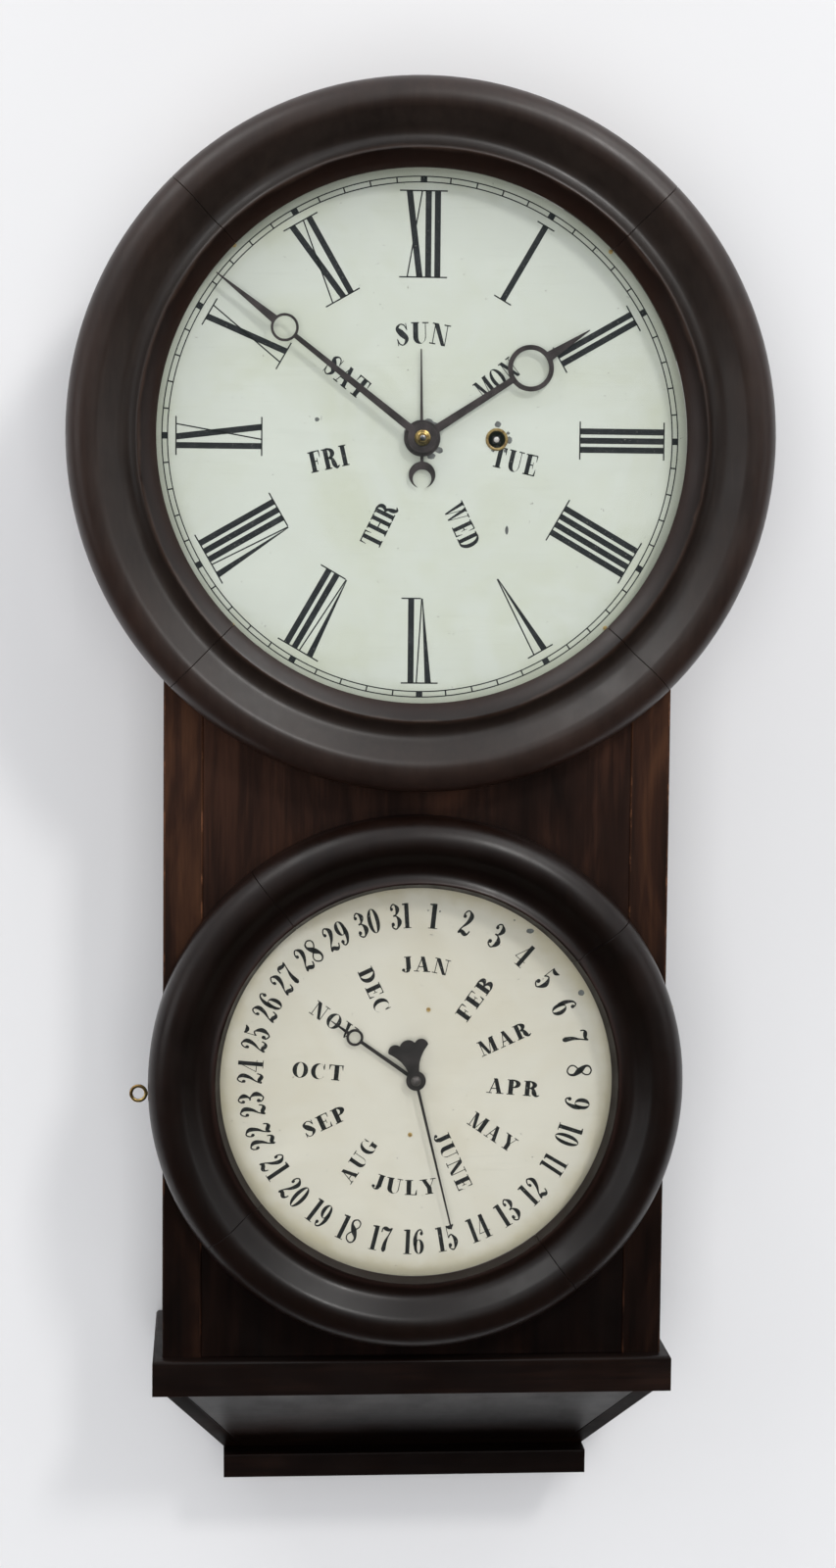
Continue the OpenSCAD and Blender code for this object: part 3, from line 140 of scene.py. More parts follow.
class Finish:
    """A material and short words for the nodes that make it."""

    def __init__(self, name, **sockets):
        self.material = bpy.data.materials.new(name)
        self.material.use_nodes = True
        self.nodes = self.material.node_tree.nodes
        self.shader = self.nodes["Principled BSDF"]
        self.where = self.nodes.new("ShaderNodeTexCoord").outputs["Object"]
        for socket, value in sockets.items():
            self.shader.inputs[socket.replace("_", " ")].default_value = value

    def link(self, source, target):
        self.material.node_tree.links.new(source, target)

    def put(self, socket, source):
        self.link(source, self.shader.inputs[socket])

    def stretched(self, scale, turn=(0, 0, 0), shift=(0, 0, 0)):
        """The object's coordinates, scaled, for a pattern that is longer one way."""
        node = self.nodes.new("ShaderNodeMapping")
        node.inputs["Location"].default_value = shift
        node.inputs["Rotation"].default_value = turn
        node.inputs["Scale"].default_value = scale
        self.link(self.where, node.inputs["Vector"])
        return node.outputs["Vector"]

    def cloud(self, place, scale, detail=4.0, rough=0.55, twist=0.0):
        node = self.nodes.new("ShaderNodeTexNoise")
        self.link(place, node.inputs["Vector"])
        node.inputs["Scale"].default_value = scale
        node.inputs["Detail"].default_value = detail
        node.inputs["Roughness"].default_value = rough
        node.inputs["Distortion"].default_value = twist
        return node.outputs["Fac"]

    def part(self, axis):
        """One of the object's coordinates."""
        node = self.nodes.new("ShaderNodeSeparateXYZ")
        self.link(self.where, node.inputs["Vector"])
        return node.outputs[axis]

    def distance(self, centre):
        """How far a point is from a centre in metres, measured across the front."""
        flat = (1, 0, 1)
        shift = tuple(-c * s for c, s in zip(centre, flat))
        node = self.nodes.new("ShaderNodeVectorMath")
        node.operation = "LENGTH"
        self.link(self.stretched(flat, shift=shift), node.inputs[0])
        return node.outputs["Value"]

    def spread(self, value, low, high, to_low=0.0, to_high=1.0):
        node = self.nodes.new("ShaderNodeMapRange")
        self.link(value, node.inputs["Value"])
        for socket, number in zip(("From Min", "From Max", "To Min", "To Max"), (low, high, to_low, to_high)):
            node.inputs[socket].default_value = number
        return node.outputs["Result"]

    def tones(self, value, stops):
        """A colour for each part of a value, given as place and colour."""
        node = self.nodes.new("ShaderNodeValToRGB")
        ramp = node.color_ramp
        while len(ramp.elements) < len(stops):
            ramp.elements.new(0.5)
        for element, (at, colour) in zip(ramp.elements, stops):
            element.position = at
            element.color = (*colour, 1)
        self.link(value, node.inputs["Fac"])
        return node.outputs["Color"]

    def blend(self, amount, under, over, way="MIX"):
        node = self.nodes.new("ShaderNodeMix")
        node.data_type = "RGBA"
        node.blend_type = way
        for socket, value in ((node.inputs[0], amount), (node.inputs[6], under), (node.inputs[7], over)):
            if hasattr(value, "is_output"):
                self.link(value, socket)
            elif isinstance(value, tuple):
                socket.default_value = (*value, 1)
            else:
                socket.default_value = value
        return node.outputs[2]

    def reckon(self, way, a, b):
        node = self.nodes.new("ShaderNodeMath")
        node.operation = way
        for socket, value in zip(node.inputs, (a, b)):
            if hasattr(value, "is_output"):
                self.link(value, socket)
            else:
                socket.default_value = value
        return node.outputs["Value"]

    def relief(self, height, strength, depth):
        node = self.nodes.new("ShaderNodeBump")
        node.inputs["Strength"].default_value = strength
        node.inputs["Distance"].default_value = depth
        self.link(height, node.inputs["Height"])
        self.put("Normal", node.outputs["Normal"])


def drawn_out(along, squeeze):
    """A scale that stretches a pattern along one axis."""
    return tuple(squeeze if axis == along else 1 for axis in "xyz")


def polished_wood(
    name, along, tones, rough, figure=14.0, sheen=0.15, wear=None, rubbing=(0.52, 0.66), painted_low_shade=None
):
    """Old hardwood with long streaks and a cloudy figure; rubbed if it has wear; given a height range,
    painted shade darkens it low down.
    """
    wood = Finish(name, Specular_IOR_Level=sheen)
    grain = wood.cloud(wood.stretched(drawn_out(along, 0.05)), 260, 6, 0.6, 0.6)
    cloudy = wood.cloud(wood.stretched(drawn_out(along, 0.3)), figure, 4, 0.55, 1.6)
    mixed = wood.reckon("ADD", wood.reckon("MULTIPLY", grain, 0.3), wood.reckon("MULTIPLY", cloudy, 0.7))
    dark, middle, light = tones
    colour = wood.tones(mixed, ((0.34, dark), (0.5, middle), (0.66, light)))
    if wear:
        rubbed = wood.cloud(wood.where, 90, 5, 0.65)
        colour = wood.blend(wood.spread(rubbed, *rubbing), colour, wear)
    # Painted shade: the colour is darkened low down, to 0.22 of itself below the lower height and not at all
    # above the upper one.
    if painted_low_shade:
        height = wood.spread(wood.part("Z"), painted_low_shade[0], painted_low_shade[1])
        low_shade_tint = wood.tones(height, ((0.0, (0.22, 0.2, 0.2)), (1.0, (1.0, 1.0, 1.0))))
        colour = wood.blend(1.0, colour, low_shade_tint, "MULTIPLY")
    wood.put("Base Color", colour)
    dull = wood.cloud(wood.where, 38, 5, 0.6)
    wood.put("Roughness", wood.spread(dull, 0.3, 0.7, rough - 0.07, rough + 0.1))
    wood.relief(grain, 0.12, 0.0006)
    return wood.material


def turned_wood(name, centre, near, far, bands, rough, sheen):
    """Polish on a turned ring: the tone changes from the opening outward, over short grain."""
    wood = Finish(name, Specular_IOR_Level=sheen)
    out = wood.spread(wood.distance(centre), near, far)
    grain = wood.cloud(wood.stretched((1, 1, 0.12), turn=(0, 0.6, 0)), 300, 6, 0.6, 0.5)
    cloudy = wood.cloud(wood.where, 16, 4, 0.55, 1.0)
    shaken = wood.reckon("ADD", out, wood.spread(cloudy, 0.3, 0.7, -0.03, 0.03))
    base = wood.tones(shaken, bands)
    mixed = wood.reckon("ADD", wood.reckon("MULTIPLY", grain, 0.5), wood.reckon("MULTIPLY", cloudy, 0.5))
    shade = wood.tones(mixed, ((0.36, (0.6, 0.58, 0.58)), (0.64, (1.0, 0.98, 0.96))))
    wood.put("Base Color", wood.blend(1.0, base, shade, "MULTIPLY"))
    dull = wood.cloud(wood.where, 45, 6, 0.62)
    wood.put("Roughness", wood.spread(dull, 0.3, 0.7, rough - 0.05, rough + 0.08))
    wood.relief(grain, 0.08, 0.0004)
    return wood.material


def raw_wood(name):
    """Plain softwood inside and behind the case, browned with age."""
    wood = Finish(name, Roughness=0.8, Specular_IOR_Level=0.25)
    grain = wood.cloud(wood.stretched((1, 1, 0.06)), 160, 6, 0.6, 0.8)
    cloudy = wood.cloud(wood.stretched((1, 1, 0.4)), 9, 4, 0.6)
    mixed = wood.reckon("ADD", wood.reckon("MULTIPLY", grain, 0.55), wood.reckon("MULTIPLY", cloudy, 0.45))
    browns = ((0.35, (0.13, 0.07, 0.033)), (0.5, (0.23, 0.135, 0.065)), (0.65, (0.31, 0.19, 0.1)))
    wood.put("Base Color", wood.tones(mixed, browns))
    wood.relief(grain, 0.3, 0.0008)
    return wood.material


def dial_paint(name, centre, middle, stain, rim, radius):
    """Aged paint on a tin dial: faint clouds, brush marks, a darker yellowed rim and rubbed patches."""
    paint = Finish(name, Roughness=0.42, Specular_IOR_Level=0.35)
    clouds = paint.cloud(paint.where, 11, 5, 0.6, 0.8)
    brushed = paint.cloud(paint.stretched((0.03, 1, 1), turn=(0, 0.5, 0)), 900, 3, 0.6)
    colour = paint.blend(paint.spread(clouds, 0.42, 0.66, 0, 0.9), middle, stain)
    bright = paint.cloud(paint.stretched((0.5, 1, 1), turn=(0, 0.7, 0)), 26, 6, 0.65, 1.2)
    colour = paint.blend(paint.spread(bright, 0.5, 0.72, 0, 0.5), colour, tuple(c * 1.08 for c in middle))
    out = paint.reckon(
        "ADD", paint.distance(centre),
        paint.spread(paint.cloud(paint.where, 60, 5, 0.6), 0.3, 0.7, -0.004, 0.004)
    )
    colour = paint.blend(paint.spread(out, radius * 0.92, radius, 0, 0.6), colour, rim)
    scratched = paint.blend(paint.spread(brushed, 0.55, 0.75, 0, 0.1), colour, (0.36, 0.37, 0.33))
    specks = paint.cloud(paint.where, 420, 2, 0.5)
    dotted = paint.blend(paint.spread(specks, 0.745, 0.77, 0, 0.6), scratched, (0.2, 0.19, 0.17))
    paint.put("Base Color", dotted)
    paint.put("Roughness", paint.spread(brushed, 0.3, 0.7, 0.36, 0.5))
    paint.relief(brushed, 0.05, 0.0002)
    return paint.material


def old_brass(name, bright=1.0, patches=70.0, shine=1.0):
    """Lacquered brass gone brown in places."""
    metal = Finish(name, Metallic=shine)
    tarnish = metal.cloud(metal.where, patches, 5, 0.6, 0.6)
    fine = metal.cloud(metal.stretched((1, 0.1, 1)), 900, 3, 0.6)
    browns = ((0.35, (0.26, 0.16, 0.06)), (0.52, (0.5, 0.36, 0.13)), (0.7, (0.62, 0.47, 0.2)))
    stops = [(at, tuple(c * bright for c in tone)) for at, tone in browns]
    metal.put("Base Color", metal.tones(tarnish, stops))
    metal.put("Roughness", metal.spread(fine, 0.3, 0.7, 0.24, 0.42))
    metal.relief(fine, 0.08, 0.0002)
    return metal.material


def dark_steel(name, low, high, rough, shine=1.0):
    """Blued or browned steel with a cloudy skin."""
    metal = Finish(name, Metallic=shine, Specular_IOR_Level=0.5)
    skin = metal.cloud(metal.where, 110, 5, 0.62, 0.5)
    fine = metal.cloud(metal.where, 1200, 3, 0.6)
    metal.put("Base Color", metal.tones(skin, ((0.36, low), (0.64, high))))
    metal.put("Roughness", metal.spread(skin, 0.3, 0.7, rough - 0.08, rough + 0.08))
    metal.relief(fine, 0.06, 0.0001)
    return metal.material


def printers_ink(name, black, worn, loss):
    """Black dial ink, thin and rubbed through in small spots."""
    ink = Finish(name, Roughness=0.5, Specular_IOR_Level=0.3)
    thin = ink.cloud(ink.where, 120, 5, 0.65)
    spots = ink.cloud(ink.where, 900, 3, 0.6)
    colour = ink.blend(ink.spread(thin, 0.5, 0.72), black, worn)
    ink.put("Base Color", ink.blend(ink.spread(spots, 0.67, 0.7, 0, loss), colour, (0.5, 0.5, 0.44)))
    ink.put("Roughness", ink.spread(thin, 0.3, 0.7, 0.42, 0.6))
    return ink.material


def clear_glass(name):
    """Thin old window glass that shows little of itself."""
    glass = Finish(name, IOR=1.5, Alpha=0.06, Specular_IOR_Level=0.5)
    ripple = glass.cloud(glass.where, 9, 2, 0.5)
    glass.put("Base Color", glass.tones(ripple, ((0.3, (0.05, 0.07, 0.06)), (0.7, (0.08, 0.1, 0.09)))))
    glass.put("Roughness", glass.spread(ripple, 0.3, 0.7, 0.02, 0.06))
    glass.relief(ripple, 0.04, 0.001)
    return glass.material


def plaster(name, tone):
    """Smooth painted wall or floor."""
    coat = Finish(name, Roughness=0.9, Specular_IOR_Level=0.2)
    soft = coat.cloud(coat.where, 3, 3, 0.5)
    coat.put("Base Color", coat.tones(soft, ((0.3, tuple(c * 0.985 for c in tone)), (0.7, tone))))
    return coat.material


# Making and finishing pieces


def piece(name, mesh, material, body=None, smooth=None):
    """Turns a bmesh in metres into an object that rides on a body; smooth is the sharp angle in degrees."""
    data = bpy.data.meshes.new(name)
    mesh.to_mesh(data)
    mesh.free()
    for finish in material if isinstance(material, list) else [material]:
        data.materials.append(finish)
    if smooth:
        for face in data.polygons:
            face.use_smooth = True
        data.set_sharp_from_angle(angle=math.radians(smooth))
    made = bpy.data.objects.new(name, data)
    bpy.context.scene.collection.objects.link(made)
    if body:
        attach(made, body)
    return made


def body_of_node(node):
    for body, members in frame["record"]["behaviour"]["bodies"].items():
        if node in members:
            return body


def merged_copy(node):
    """A node's solids as one clean bmesh, with flat faces joined."""
    mesh = bmesh.new()
    mesh.from_mesh(frame["nodes"][node].data)
    bmesh.ops.remove_doubles(mesh, verts=mesh.verts, dist=2e-6)
    bmesh.ops.dissolve_limit(
        mesh, angle_limit=math.radians(0.6), use_dissolve_boundaries=False, verts=mesh.verts, edges=mesh.edges
    )
    mesh.normal_update()
    return mesh


def rounded(mesh, edges, width, segments):
    """Bevels some edges and returns the new faces."""
    made = bmesh.ops.bevel(
        mesh, geom=edges, offset=width, segments=segments,
        profile=0.5, affect="EDGES", clamp_overlap=True, material=-1
    )
    return made["faces"]


def eased(mesh, width, shortest, worn=None):
    """Rounds the edges that are long and sharp enough, and gives the rounding the worn finish."""
    sharp = math.radians(25)
    solid_edges = [e for e in mesh.edges if len(e.link_faces) == 2]
    edges = [e for e in solid_edges if e.calc_length() > shortest and e.calc_face_angle(0) > sharp]
    faces = rounded(mesh, edges, width, 3)
    if worn is not None:
        for face in faces:
            face.material_index = worn
    bmesh.ops.recalc_face_normals(mesh, faces=mesh.faces)


def dressed(node, material, width, shortest, worn=None):
    """An eased copy that stands for a node; the rounding's width and the shortest edge are in millimetres."""
    mesh = merged_copy(node)
    eased(mesh, width * MM, shortest * MM, worn=1 if worn else None)
    made = piece(node + "_finished", mesh, [material, worn] if worn else material, body_of_node(node))
    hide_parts(node)
    return made


def coated(nodes, finish):
    """Gives carried-over nodes their finish."""
    for node in nodes:
        coats = frame["nodes"][node].data.materials
        coats.clear()
        coats.append(finish)


# The turned bezels


def turned_profile(opening, crest, rounding, lean, thick, lip_high, chamfer, seat, rebate):
    """Radius and height of the bezel's section, from its outer foot over the crest to the glass rebate."""
    foot = thick - rounding
    bead = 1.3
    lip = opening + chamfer + bead
    hollow = (crest - lip) * 0.53
    brow = lip + hollow
    inner = rounding * 0.62
    slope = math.tan(math.radians(lean))
    points = [(crest + rounding, 0.0)]
    for k in range(15):
        a = math.radians(90 * k / 14)
        points.append((crest + rounding * math.cos(a), foot + rounding * math.sin(a)))
    for k in range(1, 9):
        a = math.radians(90 + lean * k / 8)
        points.append((crest + inner * math.cos(a), thick - inner + inner * math.sin(a)))
    brow_high = points[-1][1] - (points[-1][0] - brow) * slope
    deep = (slope * hollow - brow_high + lip_high) / math.pi
    for k in range(15):
        s = k / 14
        level = brow_high + (lip_high - brow_high) * s
        points.append((brow + (lip - brow) * s, level - deep * math.sin(math.pi * s)))
    points += [(lip - bead / 2, lip_high + 0.15), (lip - bead, lip_high), (opening + 0.35, foot + 0.5)]
    return points + [(opening, foot), (opening, seat), (rebate, seat), (rebate, 0.0)]


def turned_bezel(name, node, z, first, profile, material, gap):
    """Four glued segments spun from the section with hairline joints; first and gap are in degrees."""
    mesh = bmesh.new()
    for k in range(4):
        ring = [mesh.verts.new((r * MM, (RING_Y - h) * MM, z * MM)) for r, h in profile]
        edges = [mesh.edges.new((a, b)) for a, b in zip(ring, ring[1:] + ring[:1])]
        start = bmesh.ops.contextual_create(mesh, geom=edges)["faces"]
        begin = math.radians(first + 90 * k + gap / 2)
        sweep = math.radians(90 - gap)
        about = Vector((0, 0, z * MM))
        bmesh.ops.rotate(mesh, verts=ring, cent=about, matrix=Matrix.Rotation(-begin, 3, "Y"))
        bmesh.ops.spin(mesh, geom=start, cent=about, axis=FORWARD, angle=sweep, steps=44)
    bmesh.ops.recalc_face_normals(mesh, faces=mesh.faces)
    steep = [e for e in mesh.edges if e.is_manifold and e.calc_face_angle(0) > math.radians(60)]
    rounded(mesh, [e for e in steep if max(len(f.verts) for f in e.link_faces) > 8], 0.22 * MM, 1)
    made = piece(name, mesh, material, body_of_node(node), smooth=32)
    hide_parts(node)
    return made


def turned_part(name, at, profile, material, body, node=None):
    """A small part spun about an axis through the dial, from radii and heights forward of its foot."""
    x, y, z = at
    mesh = bmesh.new()
    rim = [mesh.verts.new(((x + r) * MM, (y - h) * MM, z * MM)) for r, h in profile]
    edges = [mesh.edges.new((a, b)) for a, b in zip(rim, rim[1:])]
    if profile[0][0] > 0:
        edges.append(mesh.edges.new((rim[-1], rim[0])))
    about = Vector(at) * MM
    bmesh.ops.spin(mesh, geom=rim + edges, cent=about, axis=FORWARD, angle=math.tau, steps=40, use_merge=True)
    bmesh.ops.remove_doubles(mesh, verts=mesh.verts, dist=1e-6)
    bmesh.ops.recalc_face_normals(mesh, faces=mesh.faces)
    made = piece(name, mesh, material, body, smooth=40)
    if node:
        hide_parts(node)
    return made


# Lettering and numbers, drawn with a few kinds of flat stroke


class Inker:
    """Draws flat strokes into one mesh, in the units of a placing matrix; x to the right, z up."""

    def __init__(self):
        self.mesh = bmesh.new()
        self.place = Matrix.Identity(4)

    def set_down(self, verts):
        bmesh.ops.transform(self.mesh, verts=verts, matrix=self.place)

    def slant(self, x0, z0, x1, z1, w0, w1=None):
        """A stroke with level ends; x0 and x1 are its left edge at each end."""
        w1 = w0 if w1 is None else w1
        verts = bmesh.ops.create_grid(self.mesh, x_segments=1, y_segments=1, size=0.5)["verts"]
        for v in verts:
            s, t = v.co.x + 0.5, v.co.y + 0.5
            v.co = Vector((x0 + (x1 - x0) * t + s * (w0 + (w1 - w0) * t), 0, z0 + (z1 - z0) * t))
        self.set_down(verts)

    def level(self, x0, x1, z, t):
        self.slant(x0, z, x0, z + t, x1 - x0)

    def stem(self, x, w):
        """An upright with a hairline serif at both ends."""
        self.slant(x, 0, x, 1, w)
        self.level(x - SERIF, x + w + SERIF, 0, HAIR)
        self.level(x - SERIF, x + w + SERIF, 1 - HAIR, HAIR)

    def bowl(self, cx, cz, rx, rz, left, right, thin, a0=0.0, a1=360.0):
        """A round stroke, heavy at its sides and thin above and below."""
        steps = max(8, int(abs(a1 - a0) / 9))
        a, b = self.mesh.verts.new((1, 0, 0)), self.mesh.verts.new((2, 0, 0))
        edge = self.mesh.edges.new((a, b))
        full = abs(a1 - a0) > 359.9
        sweep = math.radians(a1 - a0)
        bmesh.ops.spin(self.mesh, geom=[a, b, edge], axis=FORWARD, angle=sweep, steps=steps, use_merge=full)
        fresh = self.loose(a)
        for v in fresh:
            away = math.atan2(v.co.z, v.co.x) + math.radians(a0)
            if math.hypot(v.co.x, v.co.z) > 1.5:
                v.co = Vector((cx + rx * math.cos(away), 0, cz + rz * math.sin(away)))
            else:
                inner = rx - (left + right) / 2
                middle = cx + (left - right) / 2
                v.co = Vector((middle + inner * math.cos(away), 0, cz + (rz - thin) * math.sin(away)))
        self.set_down(fresh)

    def loose(self, start):
        """Every vertex joined to a first one."""
        found, todo = {start}, [start]
        while todo:
            for edge in todo.pop().link_edges:
                for v in edge.verts:
                    if v not in found:
                        found.add(v)
                        todo.append(v)
        return list(found)

    def ball(self, cx, cz, r):
        verts = bmesh.ops.create_circle(self.mesh, cap_ends=True, segments=14, radius=r)["verts"]
        for v in verts:
            v.co = Vector((cx + v.co.x, 0, cz + v.co.y))
        self.set_down(verts)

    def ribbon(self, points):
        """A pen stroke through points of x, z and width."""
        spans = len(points) - 1
        verts = bmesh.ops.create_grid(self.mesh, x_segments=spans * 5, y_segments=1, size=0.5)["verts"]
        knots = [Vector(p) for p in points]
        knots = [knots[0] * 2 - knots[1]] + knots + [knots[-1] * 2 - knots[-2]]

        def along(t):
            k = min(int(t), spans - 1)
            u = t - k
            p0, p1, p2, p3 = knots[k : k + 4]
            bent = (2 * p0 - 5 * p1 + 4 * p2 - p3) * u * u
            return 0.5 * (2 * p1 + (p2 - p0) * u + bent + (3 * p1 - p0 - 3 * p2 + p3) * u ** 3)

        for v in verts:
            t = (v.co.x + 0.5) * spans
            here, near, far = along(t), along(max(t - 0.02, 0)), along(min(t + 0.02, spans))
            way = Vector((far.x - near.x, far.y - near.y)).normalized()
            side = v.co.y * max(here.z * PEN_PRESS, PEN_HAIR)
            v.co = Vector((here.x - way.y * side, 0, here.y + way.x * side))
        self.set_down(verts)

    def finished(self, name, material, body):
        """Gives the strokes the thickness of the ink and hands them over."""
        bmesh.ops.recalc_face_normals(self.mesh, faces=self.mesh.faces)
        bmesh.ops.solidify(self.mesh, geom=self.mesh.faces[:], thickness=INK_THICK * MM)
        bmesh.ops.recalc_face_normals(self.mesh, faces=self.mesh.faces)
        made = piece(name, self.mesh, material, body)
        return made


# Widths of strokes, and the place of the upper serifs, in parts of a letter's height
HEAVY = 0.265
HAIR = 0.06
SERIF = 0.09
TOP = 0.955
PEN_PRESS, PEN_HAIR = 1.3, 0.06

# Each sign: its width, then its strokes. d slant, h level, i stem, b bowl, o ball, r ribbon
LETTERS = {
    "A": (
        0.96, ("d", 0.13, 0, 0.42, 0.96, 0.055), ("d", 0.6, 0, 0.355, 1, 0.25, 0.22),
        ("h", 0.22, 0.66, 0.3, HAIR), ("h", 0, 0.31, 0, HAIR), ("h", 0.53, 0.96, 0, HAIR)
    ),
    "B": (
        0.82, ("i", 0.1, HEAVY), ("h", 0.25, 0.44, TOP, HAIR),
        ("b", 0.42, 0.755, 0.32, 0.245, 0.02, HEAVY - 0.01, HAIR, -90, 90), ("h", 0.25, 0.44, 0.49, HAIR),
        ("b", 0.43, 0.265, 0.37, 0.265, 0.02, HEAVY, HAIR, -90, 90), ("h", 0.25, 0.44, 0, HAIR)
    ),
    "C": (
        0.84, ("b", 0.43, 0.5, 0.42, 0.52, 0.25, 0.05, 0.04, 38, 322), ("d", 0.74, 0.66, 0.74, 1.01, 0.045),
        ("d", 0.73, 0.64, 0.68, 0.86, 0.045, 0.1)
    ),
    "D": (
        0.9, ("i", 0.1, HEAVY), ("h", 0.25, 0.44, TOP, HAIR),
        ("b", 0.43, 0.5, 0.45, 0.5, 0.02, HEAVY, HAIR, -90, 90), ("h", 0.25, 0.44, 0, HAIR)
    ),
    "E": (
        0.76, ("i", 0.1, HEAVY), ("h", 0.2, 0.7, TOP, HAIR), ("h", 0.2, 0.7, 0, HAIR),
        ("h", 0.25, 0.52, 0.48, HAIR), ("d", 0.67, 0.7, 0.64, 1, 0.03, 0.08),
        ("d", 0.62, 0, 0.7, 0.33, 0.11, 0.03), ("d", 0.5, 0.35, 0.5, 0.65, 0.035)
    ),
    "F": (
        0.72, ("i", 0.1, HEAVY), ("h", 0.2, 0.68, TOP, HAIR), ("h", 0.25, 0.5, 0.48, HAIR),
        ("d", 0.66, 0.66, 0.62, 1, 0.03, 0.09), ("d", 0.48, 0.34, 0.48, 0.65, 0.035), ("h", 0, 0.42, 0, HAIR)
    ),
    "G": (
        0.92, ("b", 0.43, 0.5, 0.42, 0.52, 0.25, 0.05, 0.04, 38, 322), ("d", 0.74, 0.66, 0.74, 1.01, 0.045),
        ("d", 0.73, 0.64, 0.68, 0.86, 0.045, 0.1), ("d", 0.6, 0.03, 0.6, 0.42, HEAVY),
        ("h", 0.5, 0.92, 0.4, HAIR)
    ),
    "H": (0.96, ("i", 0.1, HEAVY), ("i", 0.66, HEAVY), ("h", 0.3, 0.68, 0.48, HAIR)),
    "I": (0.4, ("i", 0.1, HEAVY)),
    "J": (
        0.6, ("d", 0.28, 0.2, 0.28, 1, HEAVY), ("h", 0.18, 0.6, TOP, HAIR),
        ("r", (0.385, 0.24, 0.2), (0.36, 0.08, 0.15), (0.24, 0.0, 0.06), (0.1, 0.07, 0.05)),
        ("o", 0.11, 0.15, 0.1)
    ),
    "L": (0.74, ("i", 0.1, HEAVY), ("h", 0.2, 0.68, 0, HAIR), ("d", 0.58, 0, 0.67, 0.36, 0.12, 0.03)),
    "M": (
        1.12, ("d", 0.14, 0, 0.14, 0.98, 0.05), ("d", 0.44, 0, 0.09, 1, 0.19, 0.25),
        ("d", 0.55, 0, 0.82, 0.98, 0.045), ("d", 0.8, 0, 0.8, 1, HEAVY), ("h", 0, 0.31, 0, HAIR),
        ("h", 0.69, 1.12, 0, HAIR), ("h", 0.02, 0.3, TOP, HAIR), ("h", 0.8, 1.11, TOP, HAIR)
    ),
    "N": (
        0.96, ("d", 0.14, 0, 0.14, 0.98, 0.05), ("d", 0.62, -0.01, 0.08, 1, 0.2, 0.26),
        ("d", 0.78, 0, 0.78, 1, 0.045), ("h", 0, 0.32, 0, HAIR), ("h", 0.01, 0.3, TOP, HAIR),
        ("h", 0.62, 0.96, TOP, HAIR)
    ),
    "O": (0.88, ("b", 0.44, 0.5, 0.44, 0.52, 0.25, 0.25, 0.04)),
    "P": (
        0.78, ("i", 0.1, HEAVY), ("h", 0.25, 0.42, TOP, HAIR),
        ("b", 0.4, 0.725, 0.37, 0.275, 0.02, HEAVY, HAIR, -90, 90), ("h", 0.25, 0.42, 0.45, HAIR)
    ),
    "R": (
        0.94, ("i", 0.1, HEAVY), ("h", 0.25, 0.42, TOP, HAIR),
        ("b", 0.4, 0.745, 0.36, 0.255, 0.02, HEAVY, HAIR, -90, 90), ("h", 0.25, 0.42, 0.49, HAIR),
        ("r", (0.4, 0.51, 0.04), (0.56, 0.44, 0.14), (0.63, 0.2, 0.21), (0.76, 0.03, 0.11), (0.93, 0.1, 0.03))
    ),
    "S": (
        0.68,
        (
            "r", (0.6, 0.72, 0.03), (0.5, 0.93, 0.05), (0.31, 0.99, 0.05), (0.135, 0.82, 0.14),
            (0.3, 0.57, 0.24), (0.52, 0.27, 0.17), (0.34, 0.015, 0.05), (0.14, 0.07, 0.05), (0.05, 0.3, 0.03)
        ),
        ("d", 0.59, 0.66, 0.59, 1.01, 0.04), ("d", 0.03, -0.01, 0.03, 0.34, 0.04)
    ),
    "T": (
        0.86, ("d", 0.33, 0, 0.33, 1, HEAVY), ("h", 0.2, 0.66, 0, HAIR), ("h", 0.02, 0.84, TOP, HAIR),
        ("d", 0.03, 0.68, 0.03, 1, 0.03, 0.1), ("d", 0.8, 0.68, 0.73, 1, 0.03, 0.1)
    ),
    "U": (
        0.94, ("d", 0.12, 0.3, 0.12, 1, HEAVY), ("d", 0.74, 0.3, 0.74, 1, 0.045),
        ("b", 0.4525, 0.32, 0.3325, 0.34, HEAVY, 0.05, 0.045, 180, 360), ("h", 0.02, 0.43, TOP, HAIR),
        ("h", 0.6, 0.93, TOP, HAIR)
    ),
    "V": (
        0.94, ("d", 0.42, -0.01, 0.12, 1, 0.08, 0.25), ("d", 0.455, -0.01, 0.77, 1, 0.045),
        ("h", 0, 0.47, TOP, HAIR), ("h", 0.61, 0.94, TOP, HAIR)
    ),
    "W": (
        1.3, ("d", 0.35, -0.01, 0.1, 1, 0.1, 0.24), ("d", 0.4, -0.01, 0.66, 0.98, 0.045),
        ("d", 0.8, -0.01, 0.54, 1, 0.1, 0.24), ("d", 0.85, -0.01, 1.12, 1, 0.045), ("h", 0, 0.43, TOP, HAIR),
        ("h", 0.5, 0.86, TOP, HAIR), ("h", 0.98, 1.28, TOP, HAIR)
    ),
    "Y": (
        0.92, ("d", 0.36, 0, 0.36, 0.45, HEAVY), ("d", 0.36, 0.42, 0.1, 1, HEAVY, 0.24),
        ("d", 0.52, 0.42, 0.76, 1, 0.045), ("h", 0.24, 0.69, 0, HAIR), ("h", 0, 0.43, TOP, HAIR),
        ("h", 0.61, 0.92, TOP, HAIR)
    ),
}

